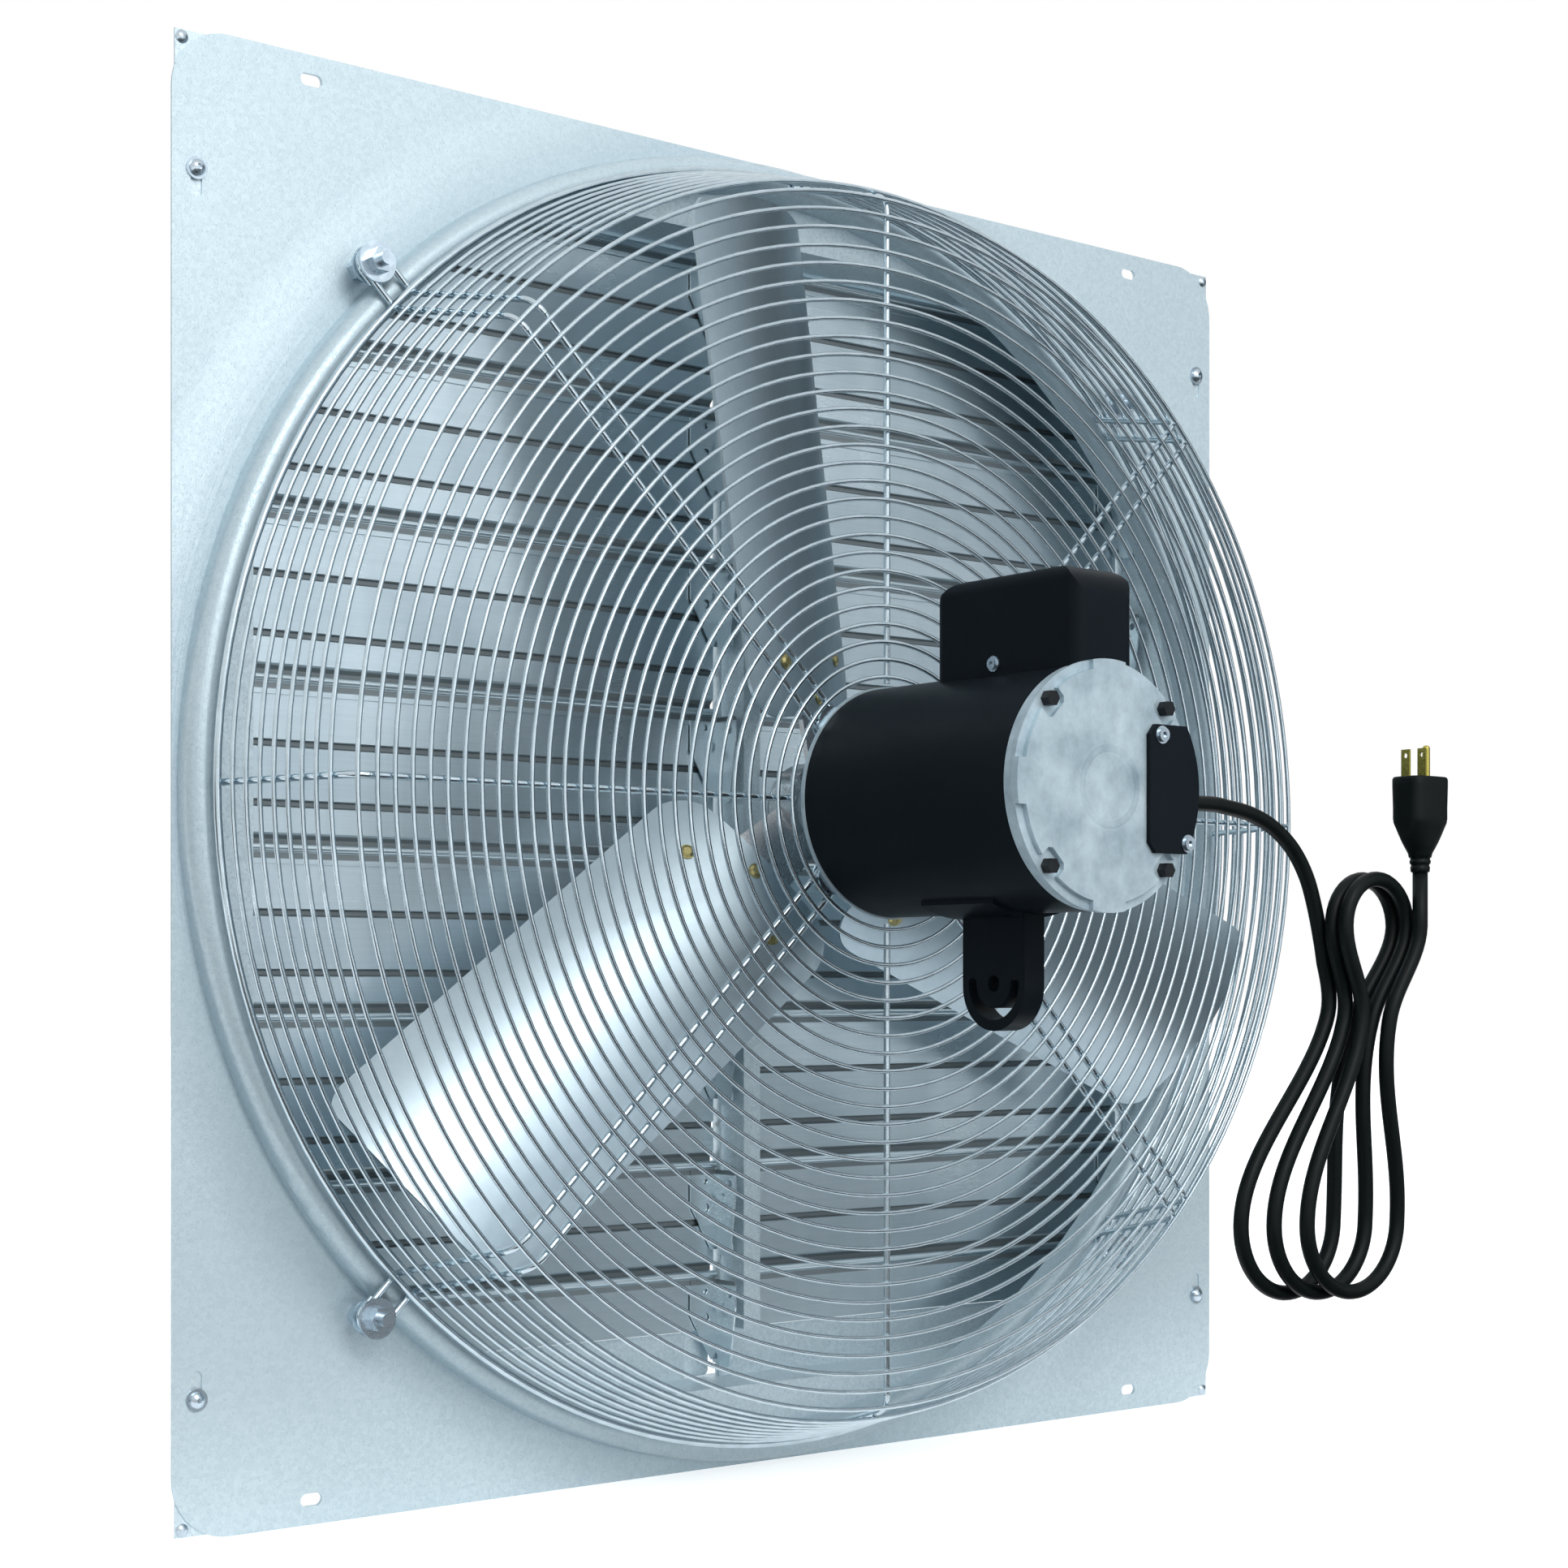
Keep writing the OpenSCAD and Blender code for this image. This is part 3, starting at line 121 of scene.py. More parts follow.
# The cord leaves the motor's side through a bushing, and its lead swings down into the hank
cordSize = {
    "diameter": 9.5, "sides": 16,
    "z": 285.4,  # off the wall
    "exitY": -4, "shellRadius": 71, "bushing": 26,
    "straight": 20,  # first stretch of the lead
    "before": 14,  # last point of the lead, before the hank's first
    "finer": 5,  # stations laid for each drawn one
}
cordSize["startX"] = math.sqrt(cordSize["shellRadius"] ** 2 - cordSize["exitY"] ** 2) + cordSize["bushing"]
leadRoute = [(127, -5), (150, -8.5), (171, -16), (189, -28.5), (202, -45), (210, -64)]
hank = {
    "xTop": 244, "xLow": 203, "top": -76, "low": -260, "rTop": 29.5, "rLow": 43,
    "waist": 9, "waistAt": 0.32, "fan": 18, "step": 10.6, "loops": 3, "tail": 34,
    "runSteps": 8, "lowSteps": 5, "topSteps": 3,
}


def hankLine(h, z0, finer):
    # each loop: a run down the left side, a half circle, a run up the right side that climbs one
    # layer, and a half circle over the top; the half width eases in to the waist and out again
    runSteps = h["runSteps"] * finer
    lowSteps = (h["lowSteps"] + 1) * finer - 1
    topSteps = (h["topSteps"] + 1) * finer - 1

    def ease(u):
        return (1 - math.cos(math.pi * u)) / 2

    def half(s):
        if s < h["waistAt"]:
            return h["rTop"] + (h["waist"] - h["rTop"]) * ease(s / h["waistAt"])
        return h["waist"] + (h["rLow"] - h["waist"]) * ease((s - h["waistAt"]) / (1 - h["waistAt"]))

    def mid(s, k):
        return h["xTop"] + (h["xLow"] - h["xTop"] + h["fan"] * (k - 1)) * ease(s)

    def run(side, s, k, layer):
        return (mid(s, k) + side * half(s), h["top"] + (h["low"] - h["top"]) * s, z0 + layer * h["step"])

    line = []
    for k in range(h["loops"]):
        line += [run(-1, i / runSteps, k, k) for i in range(1 if k == 0 else 0, runSteps + 1)]
        for i in range(1, lowSteps + 1):
            a = math.pi * i / (lowSteps + 1)
            line.append((mid(1, k) - h["rLow"] * math.cos(a), h["low"] - h["rLow"] * math.sin(a),
                         z0 + k * h["step"]))
        line += [run(1, 1 - i / runSteps, k, k + i / runSteps) for i in range(runSteps + 1)]
        if k < h["loops"] - 1:
            for i in range(1, topSteps + 1):
                a = math.pi * i / (topSteps + 1)
                line.append((h["xTop"] + h["rTop"] * math.cos(a), h["top"] + h["rTop"] * math.sin(a),
                             z0 + (k + 1) * h["step"]))
    line.append((h["xTop"] + h["rTop"], h["top"] + h["tail"], z0 + h["loops"] * h["step"]))
    return line


z0 = cordSize["z"]
finer = cordSize["finer"]
hankPoints = np.array(hankLine(hank, z0, 1))
lead = [(cordSize["startX"], cordSize["exitY"], z0),
        (cordSize["startX"] + cordSize["straight"], cordSize["exitY"], z0)]
lead += [(x, y, z0) for x, y in leadRoute]
firstDir = (hankPoints[1] - hankPoints[0]) / np.linalg.norm(hankPoints[1] - hankPoints[0])
leadEnd = hankPoints[0] - cordSize["before"] * firstDir
leadPath = smoothPath(offWall(np.vstack([lead, leadEnd, hankPoints[:3]])), finer)
# the hank again, at more stations of the same formula; the lead's curve runs to its first drawn point
finePoints = np.array(hankLine(hank, z0, finer))
cordPath = np.vstack([leadPath[:finer * (len(lead) + 1)], offWall(finePoints[finer - 1:])])
mainsCord = gridMesh("mainsCord", tubeRings(cordPath, cordSize["diameter"] / 2000, cordSize["sides"]))
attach(mainsCord, "housing")
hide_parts("power_lead", "cord_hank")

# Plug: its sections are superellipses that swell from the cord to the grip and the face
plugSize = {
    "x": hank["xTop"] + hank["rTop"],
    "low": hank["top"] + hank["tail"],
    "z": z0 + hank["loops"] * hank["step"],
    "sides": 48,
    "sections": [  # height, width, depth, squareness
        (0, 10.6, 10.6, 2.0), (0.6, 11.8, 11.8, 2.0), (3.4, 12.2, 12.2, 2.0), (3.8, 11.4, 11.4, 2.0),
        (5.0, 11.4, 11.4, 2.0), (5.4, 12.8, 12.8, 2.0), (7.4, 13.2, 13.2, 2.0), (7.8, 12.2, 12.2, 2.0),
        (9.0, 12.4, 12.4, 2.0), (9.4, 14.0, 14.0, 2.0), (12, 15.0, 14.8, 2.1), (15, 18.6, 16.6, 2.4),
        (19, 23.0, 18.6, 2.8), (23.5, 27.6, 20.4, 3.1), (28, 31.2, 22.4, 3.4), (31, 33.2, 24.2, 3.6),
        (34, 33.8, 24.8, 3.7), (40, 33.6, 24.6, 3.8), (47, 33.8, 24.8, 3.9), (54, 34.0, 25.0, 4.0),
        (58.2, 34.0, 25.0, 4.0), (59.4, 33.4, 24.4, 3.9), (59.9, 32.4, 23.4, 3.8), (60, 31.0, 22.0, 3.7),
    ],
}


def superSections(size):
    # point at angle a: sign(cos a) |cos a|^(2/n) * w/2, and the same with sin a and the depth
    s = np.array(size["sections"], float)
    a = np.linspace(0, 2 * np.pi, size["sides"], endpoint=False)[None, :]
    e = 2 / s[:, 3:4]
    x = size["x"] + s[:, 1:2] / 2 * np.sign(np.cos(a)) * np.abs(np.cos(a)) ** e
    y = -size["z"] + s[:, 2:3] / 2 * np.sign(np.sin(a)) * np.abs(np.sin(a)) ** e
    z = size["low"] + np.repeat(s[:, 0:1], size["sides"], axis=1)
    return np.stack([x, y, z], -1) / 1000


plugGrip = gridMesh("plugGrip", superSections(plugSize))
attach(plugGrip, "housing")
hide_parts("plug_body")

# Strain relief: a flange on the shell and a taper with soft ribs, turned about the lead
reliefSize = {
    "from": 67.2, "flangeTo": 75, "to": cordSize["startX"], "sides": 40,
    "backRadius": 9.4, "flangeRadius": 10, "edge": 0.8, "edgeDrop": 0.4,
    "neckRadius": 8.4, "neckStep": 0.3, "taper": 2.3, "mouthRadius": 5.2,
    "ribs": 6, "ribDepth": 0.55, "ribsTo": 0.93, "rowsFrom": 0.03, "rows": 41,
}


def turnedProfile(profile, y, z, sides):
    # profile is rows of (x, radius); each row is a circle about the line (y, z)
    p = np.array(profile, float)
    a = np.linspace(0, 2 * np.pi, sides, endpoint=False)[None, :]
    x = np.repeat(p[:, 0:1], sides, axis=1)
    return np.stack([x, y + p[:, 1:2] * np.cos(a), z + p[:, 1:2] * np.sin(a)], -1) / 1000


def reliefProfile(size):
    neck = size["flangeTo"]
    rows = [(size["from"], size["backRadius"]), (neck - size["edge"], size["flangeRadius"]),
            (neck, size["flangeRadius"] - size["edgeDrop"]), (neck + size["neckStep"], size["neckRadius"])]
    for t in np.linspace(size["rowsFrom"], 1, size["rows"]):
        rib = (1 + math.cos(2 * math.pi * size["ribs"] * t)) / 2 if t < size["ribsTo"] else 0
        rows.append((neck + (size["to"] - neck) * t,
                     size["neckRadius"] - size["taper"] * t - size["ribDepth"] * rib))
    rows.append((size["to"], size["mouthRadius"]))
    return rows


reliefRings = turnedProfile(reliefProfile(reliefSize), -z0, cordSize["exitY"], reliefSize["sides"])
strainRelief = gridMesh("strainRelief", reliefRings)
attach(strainRelief, "housing")
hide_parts("cord_bushing")
print("plug and strain relief made")

# Tabs that hang from the lowest louvers into the gaps in the sill beside their levers
tabSize = {
    "xLow": -34.3, "xHigh": -13.9, "bankStep": 380.8, "thick": 0.9, "soft": 0.3,
    "rows": [  # height, front face, inset of both ends
        (-337.6, 41.0, 0.8), (-338.0, 40.9, 0.2), (-339.0, 40.9, 0), (-340.4, 41.1, 0), (-341.6, 42.2, 0),
        (-343.0, 44.0, 0), (-344.2, 45.1, 0), (-345.6, 45.4, 0), (-356.0, 45.4, 0), (-366.0, 45.4, 0),
        (-369.6, 45.4, 0.1), (-371.2, 45.4, 0.7), (-372.2, 45.4, 1.7), (-372.8, 45.4, 3.4),
    ],
}


def sheetTab(name, size, shift):
    # each row is the sheet cut level: a thin rectangle from end to end, with a soft corner at each end
    rows = np.array(size["rows"], float)
    t, soft = size["thick"], size["soft"]
    x0 = (size["xLow"] + rows[:, 2] + shift)[:, None]
    x1 = (size["xHigh"] - rows[:, 2] + shift)[:, None]
    xs = np.hstack([x1 - t / 2, x1, x1, x1 - t / 2, x0 + t / 2, x0, x0, x0 + t / 2])
    depths = t * np.array([1, 1 - soft, soft, 0, 0, soft, 1 - soft, 1])
    ys = rows[:, 1:2] + depths[None, :]
    zs = np.repeat(rows[:, 0:1], len(depths), axis=1)
    return gridMesh(name, np.stack([xs, ys, zs], -1) / 1000)


sillTabs = []
for bank, shift in (("left", 0.0), ("right", tabSize["bankStep"])):
    tab = sheetTab(bank + "SillTab", tabSize, shift)
    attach(tab, bank + "_louver_8_body")
    sillTabs.append(tab)
print("sill tabs made")


# Shader helpers
def node(tree, kind, fixed=None, **settings):
    # fixed gives plain values to input sockets
    n = tree.nodes.new("ShaderNode" + kind)
    for key, value in settings.items():
        setattr(n, key, value)
    for key, value in (fixed or {}).items():
        n.inputs[key].default_value = value
    return n


def maths(tree, operation, a, b=0, clamp=False):
    n = node(tree, "Math", operation=operation, use_clamp=clamp)
    for k, v in enumerate((a, b)):
        if isinstance(v, (int, float)):
            n.inputs[k].default_value = v
        else:
            tree.links.new(v, n.inputs[k])
    return n.outputs[0]


def weighted(tree, *terms, clamp=False):
    # the sum of each socket times its weight
    parts = [socket if weight == 1 else maths(tree, "MULTIPLY", socket, weight) for socket, weight in terms]
    total = parts[0]
    for k, part in enumerate(parts[1:], 2):
        total = maths(tree, "ADD", total, part, clamp and k == len(parts))
    return total


def mapRange(tree, value, source=(0, 1), target=(0, 1), smooth=False):
    n = node(tree, "MapRange", {"From Min": source[0], "From Max": source[1],
                                "To Min": target[0], "To Max": target[1]},
             interpolation_type="SMOOTHSTEP" if smooth else "LINEAR")
    tree.links.new(value, n.inputs["Value"])
    return n.outputs["Result"]


def between(tree, value, low, high, soft):
    # 1 where the value lies from low to high, falling to 0 over the soft distance on both sides
    up = mapRange(tree, value, (low - soft, low), smooth=True)
    down = mapRange(tree, value, (high + soft, high), smooth=True)
    return maths(tree, "MULTIPLY", up, down)


def noise(tree, where, scale, detail, rough=0.5):
    # the scale is a number or a socket
    n = node(tree, "TexNoise", {"Detail": detail, "Roughness": rough})
    tree.links.new(where, n.inputs["Vector"])
    if isinstance(scale, (int, float)):
        n.inputs["Scale"].default_value = scale
    else:
        tree.links.new(scale, n.inputs["Scale"])
    return n.outputs["Fac"]


def stretched(tree, where, factors):
    n = node(tree, "VectorMath", {1: factors}, operation="MULTIPLY")
    tree.links.new(where, n.inputs[0])
    return n.outputs[0]


def length(tree, vector):
    n = node(tree, "VectorMath", operation="LENGTH")
    tree.links.new(vector, n.inputs[0])
    return n.outputs["Value"]


def fromAxis(tree, where):
    # distance from the fan axis
    return length(tree, stretched(tree, where, (1, 0, 1)))


def mixColor(tree, factor, a, b):
    # a and b are plain colours or sockets
    mix = node(tree, "Mix", data_type="RGBA")
    tree.links.new(factor, mix.inputs["Factor"])
    for key, color in (("A", a), ("B", b)):
        if isinstance(color, tuple):
            mix.inputs[key].default_value = (*color, 1)
        else:
            tree.links.new(color, mix.inputs[key])
    return mix.outputs["Result"]


# Shader groups
def newGroup(name, inputs, outputs):
    group = bpy.data.node_groups.new(name, "ShaderNodeTree")
    for label, kind, value in inputs:
        socket = group.interface.new_socket(name=label, in_out="INPUT", socket_type="NodeSocket" + kind)
        if value is not None:
            socket.default_value = value
    for label in outputs:
        group.interface.new_socket(name=label, in_out="OUTPUT", socket_type="NodeSocketFloat")
    return group, group.nodes.new("NodeGroupInput"), group.nodes.new("NodeGroupOutput")


spangleLook = {
    "speckDetail": 2, "speckDark": (0.30, 0.46), "cloudScale": 9.0, "cloudDetail": 2.0, "cloudRough": 0.55,
    "cellTone": 0.34, "speckTone": 0.42, "cloudTone": 0.30, "cellHeight": 0.3,
}


def makeSpangle(look):
    # zinc crystals: flat cells of slightly different grey, with fine dark specks between
    g, gin, gout = newGroup("spangle", [("Vector", "Vector", None), ("Cell", "Float", 420.0),
                                        ("Speck", "Float", 900.0)], ("Tone", "Height"))
    where = gin.outputs["Vector"]
    cells = node(g, "TexVoronoi")
    g.links.new(where, cells.inputs["Vector"])
    g.links.new(gin.outputs["Cell"], cells.inputs["Scale"])
    grey = node(g, "SeparateColor")
    g.links.new(cells.outputs["Color"], grey.inputs[0])
    specks = mapRange(g, noise(g, where, gin.outputs["Speck"], look["speckDetail"]), look["speckDark"])
    cloud = noise(g, where, look["cloudScale"], look["cloudDetail"], look["cloudRough"])
    tone = weighted(g, (grey.outputs[0], look["cellTone"]), (specks, look["speckTone"]),
                    (cloud, look["cloudTone"]), clamp=True)
    g.links.new(tone, gout.inputs["Tone"])
    g.links.new(weighted(g, (specks, 1), (grey.outputs[1], look["cellHeight"])), gout.inputs["Height"])
    return g


grainLook = {"scale": 18.0, "detail": 4.0, "rough": 0.6, "cloudDetail": 2}


def makeGrain(look):
    # rolled sheet: long streaks along one direction, over a slow cloud
    g, gin, gout = newGroup("rollGrain", [("Vector", "Vector", None), ("Stretch", "Vector", (1, 60, 60)),
                                          ("Cloud", "Float", 14.0)], ("Streak", "Cloud"))
    where = gin.outputs["Vector"]
    scaled = node(g, "VectorMath", operation="MULTIPLY")
    g.links.new(where, scaled.inputs[0])
    g.links.new(gin.outputs["Stretch"], scaled.inputs[1])
    streak = noise(g, scaled.outputs[0], look["scale"], look["detail"], look["rough"])
    cloud = noise(g, where, gin.outputs["Cloud"], look["cloudDetail"])
    g.links.new(streak, gout.inputs["Streak"])
    g.links.new(cloud, gout.inputs["Cloud"])
    return g


peelDetail = {"Fine": 1.5, "Slow": 3.0}


def makePeel(detail):
    # sprayed enamel and moulded skins: fine dimples over a slow swell
    g, gin, gout = newGroup("finePeel", [("Vector", "Vector", None), ("Fine", "Float", 700.0),
                                         ("Slow", "Float", 30.0)], ("Fine", "Slow"))
    for label, value in detail.items():
        g.links.new(noise(g, gin.outputs["Vector"], gin.outputs[label], value), gout.inputs[label])
    return g


spangle, rollGrain, finePeel = makeSpangle(spangleLook), makeGrain(grainLook), makePeel(peelDetail)


# Materials: in every look, rough gives the roughness at the dark tone and at the light tone,
# and dent gives a bump's distance in metres and its strength
def startMaterial(name, look):
    material = bpy.data.materials.new(name)
    material.use_nodes = True
    tree = material.node_tree
    shader = tree.nodes["Principled BSDF"]
    shader.inputs["Metallic"].default_value = look["metallic"]
    where = node(tree, "TexCoord").outputs["Object"]
    return material, tree, shader, where


def placeGroup(tree, group, where, **values):
    n = node(tree, "Group", node_tree=group)
    tree.links.new(where, n.inputs["Vector"])
    for key, value in values.items():
        n.inputs[key].default_value = value
    return n.outputs


def tint(tree, shader, tone, look):
    tree.links.new(mixColor(tree, tone, look["dark"], look["light"]), shader.inputs["Base Color"])


def cover(tree, shader, mask, color):
    # lays a colour over the base colour that is there, where the mask is
    under = shader.inputs["Base Color"].links[0].from_socket
    tree.links.new(mixColor(tree, mask, under, color), shader.inputs["Base Color"])


def roughen(tree, shader, tone, look):
    tree.links.new(mapRange(tree, tone, target=look["rough"]), shader.inputs["Roughness"])


def dent(tree, shader, height, look):
    bump = node(tree, "Bump", {"Distance": look["dent"][0], "Strength": look["dent"][1]})
    tree.links.new(height, bump.inputs["Height"])
    tree.links.new(bump.outputs["Normal"], shader.inputs["Normal"])
    return bump


def finish(tree, shader, tone, height, look):
    tint(tree, shader, tone, look)
    roughen(tree, shader, tone, look)
    return dent(tree, shader, height, look)


zincLook = {
    "metallic": 0.35, "cell": 420.0, "speckToCell": 2.1, "rough": (0.52, 0.36), "dent": (0.00012, 0.5),
}


def galvanised(name, own):
    look = {**zincLook, **own}
    material, tree, shader, where = startMaterial(name, look)
    zinc = placeGroup(tree, spangle, where, Cell=look["cell"], Speck=look["cell"] * look["speckToCell"])
    finish(tree, shader, zinc["Tone"], zinc["Height"], look)
    return material


# The panel is drawn up to its inlet ring: the sheet dishes gently there, with faint marks of the tool
# that run round the ring, fast over the radius and slow along it. Its colour is darkened over the dish as
# painted shade
drawnZone = {
    # painted shade: the dish round the ring is darkened towards a blue grey
    "outer": 0.472, "inner": 0.422, "rise": 0.0040, "dishShade": 0.28, "dishShadeColor": (0.24, 0.34, 0.40),
    "marks": 150.0, "markDetail": 3.0, "markRough": 0.6, "markDepth": 0.09,
    "drift": 3.0, "driftStretch": (2.5, 2.5, 2.5), "driftScale": 1.4, "driftDetail": 1.0, "driftRough": 0.55,
}


def drawnSheet(name, own):
    look = {**zincLook, **own}
    zone = drawnZone
    material, tree, shader, where = startMaterial(name, look)
    zinc = placeGroup(tree, spangle, where, Cell=look["cell"], Speck=look["cell"] * look["speckToCell"])
    fine = finish(tree, shader, zinc["Tone"], zinc["Height"], look)
    radius = fromAxis(tree, where)
    dish = mapRange(tree, radius, (zone["outer"], zone["inner"]), smooth=True)
    drift = noise(tree, stretched(tree, where, zone["driftStretch"]), zone["driftScale"],
                  zone["driftDetail"], zone["driftRough"])
    along = node(tree, "CombineXYZ")
    tree.links.new(maths(tree, "MULTIPLY", radius, zone["marks"]), along.inputs[0])
    tree.links.new(maths(tree, "MULTIPLY", drift, zone["drift"]), along.inputs[1])
    marks = noise(tree, along.outputs[0], 1.0, zone["markDetail"], zone["markRough"])
    # painted shade: a dark blue grey laid over the dish round the ring
    cover(tree, shader, maths(tree, "MULTIPLY", dish, zone["dishShade"]), zone["dishShadeColor"])
    wide = node(tree, "Bump", {"Strength": 1.0, "Distance": zone["rise"]})
    height = weighted(tree, (dish, 1), (maths(tree, "MULTIPLY", marks, dish), zone["markDepth"]))
    tree.links.new(height, wide.inputs["Height"])
    tree.links.new(wide.outputs["Normal"], fine.inputs["Normal"])
    return material


rolledLook = {"metallic": 0.95, "streak": 0.55, "cloud": 0.45, "dent": (0.00006, 0.4)}


def rolled(name, own):
    look = {**rolledLook, **own}
    material, tree, shader, where = startMaterial(name, look)
    grain = placeGroup(tree, rollGrain, where, Stretch=look["stretch"])
    tone = weighted(tree, (grain["Streak"], look["streak"]), (grain["Cloud"], look["cloud"]))
    finish(tree, shader, tone, grain["Streak"], look)
    return material


skinLook = {"shine": 0.5}


def smoothSkin(name, own):
    look = {**skinLook, **own}
    material, tree, shader, where = startMaterial(name, look)
    shader.inputs["Specular IOR Level"].default_value = look["shine"]
    skin = placeGroup(tree, finePeel, where, Fine=look["fine"], Slow=look["slow"])
    finish(tree, shader, skin["Slow"], skin["Fine"], look)
    return material


# Louver sheet: every louver repeats the one above it, so its distance below its own top edge
# follows from the height. Painted shade darkens the grooves and the bands beside the hems of the motor side,
# and the middle strip of each louver is a little darker as painted shade
louverRows = {
    "topZ": 0.3716, "pitch": 0.1002, "lastTop": -0.3026, "grooveFront": 0.0401, "grooveFloor": 0.0413,
    "hem": (0.0055, 0.0085, 0.0008), "lap": (0.0962, 0.1002, 0.0008), "middleStripShade": (0.043, 0.074, 0.0006),
}
louverLook = {
    "streakStretch": (0.6, 40, 40), "bandStretch": (26, 0, 1.6), "bandDetail": 3.0,
    # the negative tone below is painted shade of each louver's middle strip
    "streak": 0.35, "band": 0.65, "middleStripShade": -0.16, "facing": 0.35,
    # painted shade in the grooves and beside the hems: its strength, colour and added roughness
    "hemShade": 0.9, "louverShade": 0.78, "louverShadeColor": (0.10, 0.115, 0.118), "louverShadeRough": 0.25,
    "streakHeight": 0.05,
}


def belowTop(tree, z, rows):
    # distance below the top edge, by the pitch for all but the last louver
    turns = maths(tree, "DIVIDE", maths(tree, "SUBTRACT", rows["topZ"], z), rows["pitch"])
    part = maths(tree, "FRACT", turns)
    pick = node(tree, "Mix", data_type="FLOAT")
    tree.links.new(maths(tree, "LESS_THAN", z, rows["lastTop"]), pick.inputs["Factor"])
    tree.links.new(maths(tree, "MULTIPLY", part, rows["pitch"]), pick.inputs["A"])
    tree.links.new(maths(tree, "SUBTRACT", rows["lastTop"], z), pick.inputs["B"])
    return pick.outputs["Result"]


def louverFinish(name, own):
    look, rows = {**louverLook, **own}, louverRows
    material, tree, shader, where = startMaterial(name, look)
    grain = placeGroup(tree, rollGrain, where, Stretch=look["streakStretch"])
    bands = noise(tree, stretched(tree, where, look["bandStretch"]), 1.0, look["bandDetail"])
    part = node(tree, "SeparateXYZ")
    tree.links.new(where, part.inputs[0])
    _, y, z = part.outputs
    below = belowTop(tree, z, rows)
    facing = node(tree, "SeparateXYZ")
    tree.links.new(node(tree, "TexCoord").outputs["Normal"], facing.inputs[0])
    forward = maths(tree, "LESS_THAN", facing.outputs["Y"], look["facing"])
    floor = mapRange(tree, y, (rows["grooveFront"], rows["grooveFloor"]), smooth=True)
    groove = maths(tree, "MULTIPLY", floor, forward)
    edges = maths(tree, "ADD", between(tree, below, *rows["hem"]), between(tree, below, *rows["lap"]))
    edges = maths(tree, "MULTIPLY", maths(tree, "MULTIPLY", edges, forward), look["hemShade"])
    # painted shade: dark grooves and dark bands beside the hems, on faces towards the motor side
    louverShade = maths(tree, "MAXIMUM", groove, edges, clamp=True)
    # painted shade: the middle strip of each louver is darker
    tone = weighted(tree, (grain["Streak"], look["streak"]), (bands, look["band"]),
                    (between(tree, below, *rows["middleStripShade"]), look["middleStripShade"]), clamp=True)
    tint(tree, shader, tone, look)
    # painted shade laid over the base colour where the grooves and hem bands are
    cover(tree, shader, maths(tree, "MULTIPLY", louverShade, look["louverShade"]), look["louverShadeColor"])
    rough = weighted(tree, (mapRange(tree, tone, target=look["rough"]), 1), (louverShade, look["louverShadeRough"]))
    tree.links.new(rough, shader.inputs["Roughness"])
    dent(tree, shader, weighted(tree, (bands, 1), (grain["Streak"], look["streakHeight"])), look)
    return material


# Rear bell: a cast skin with stains, and the faint round mark of its core
bellLook = {
    "shine": 0.5, "fine": 420.0, "slow": 38.0, "stainScale": 90.0, "stainDetail": 5.0, "stainRough": 0.7,
    "core": (0.020, 0.0235, 0.001), "swell": 1.1, "stain": 0.7, "coreTone": -0.10, "less": 0.42,
}


def bellFinish(name, own):
    look = {**bellLook, **own}
    material, tree, shader, where = startMaterial(name, look)
    shader.inputs["Specular IOR Level"].default_value = look["shine"]
    skin = placeGroup(tree, finePeel, where, Fine=look["fine"], Slow=look["slow"])
    stains = noise(tree, where, look["stainScale"], look["stainDetail"], look["stainRough"])
    core = between(tree, fromAxis(tree, where), *look["core"])
    tone = weighted(tree, (skin["Slow"], look["swell"]), (stains, look["stain"]), (core, look["coreTone"]))
    tone = maths(tree, "SUBTRACT", tone, look["less"], clamp=True)
    finish(tree, shader, tone, maths(tree, "ADD", skin["Fine"], core), look)
    return material


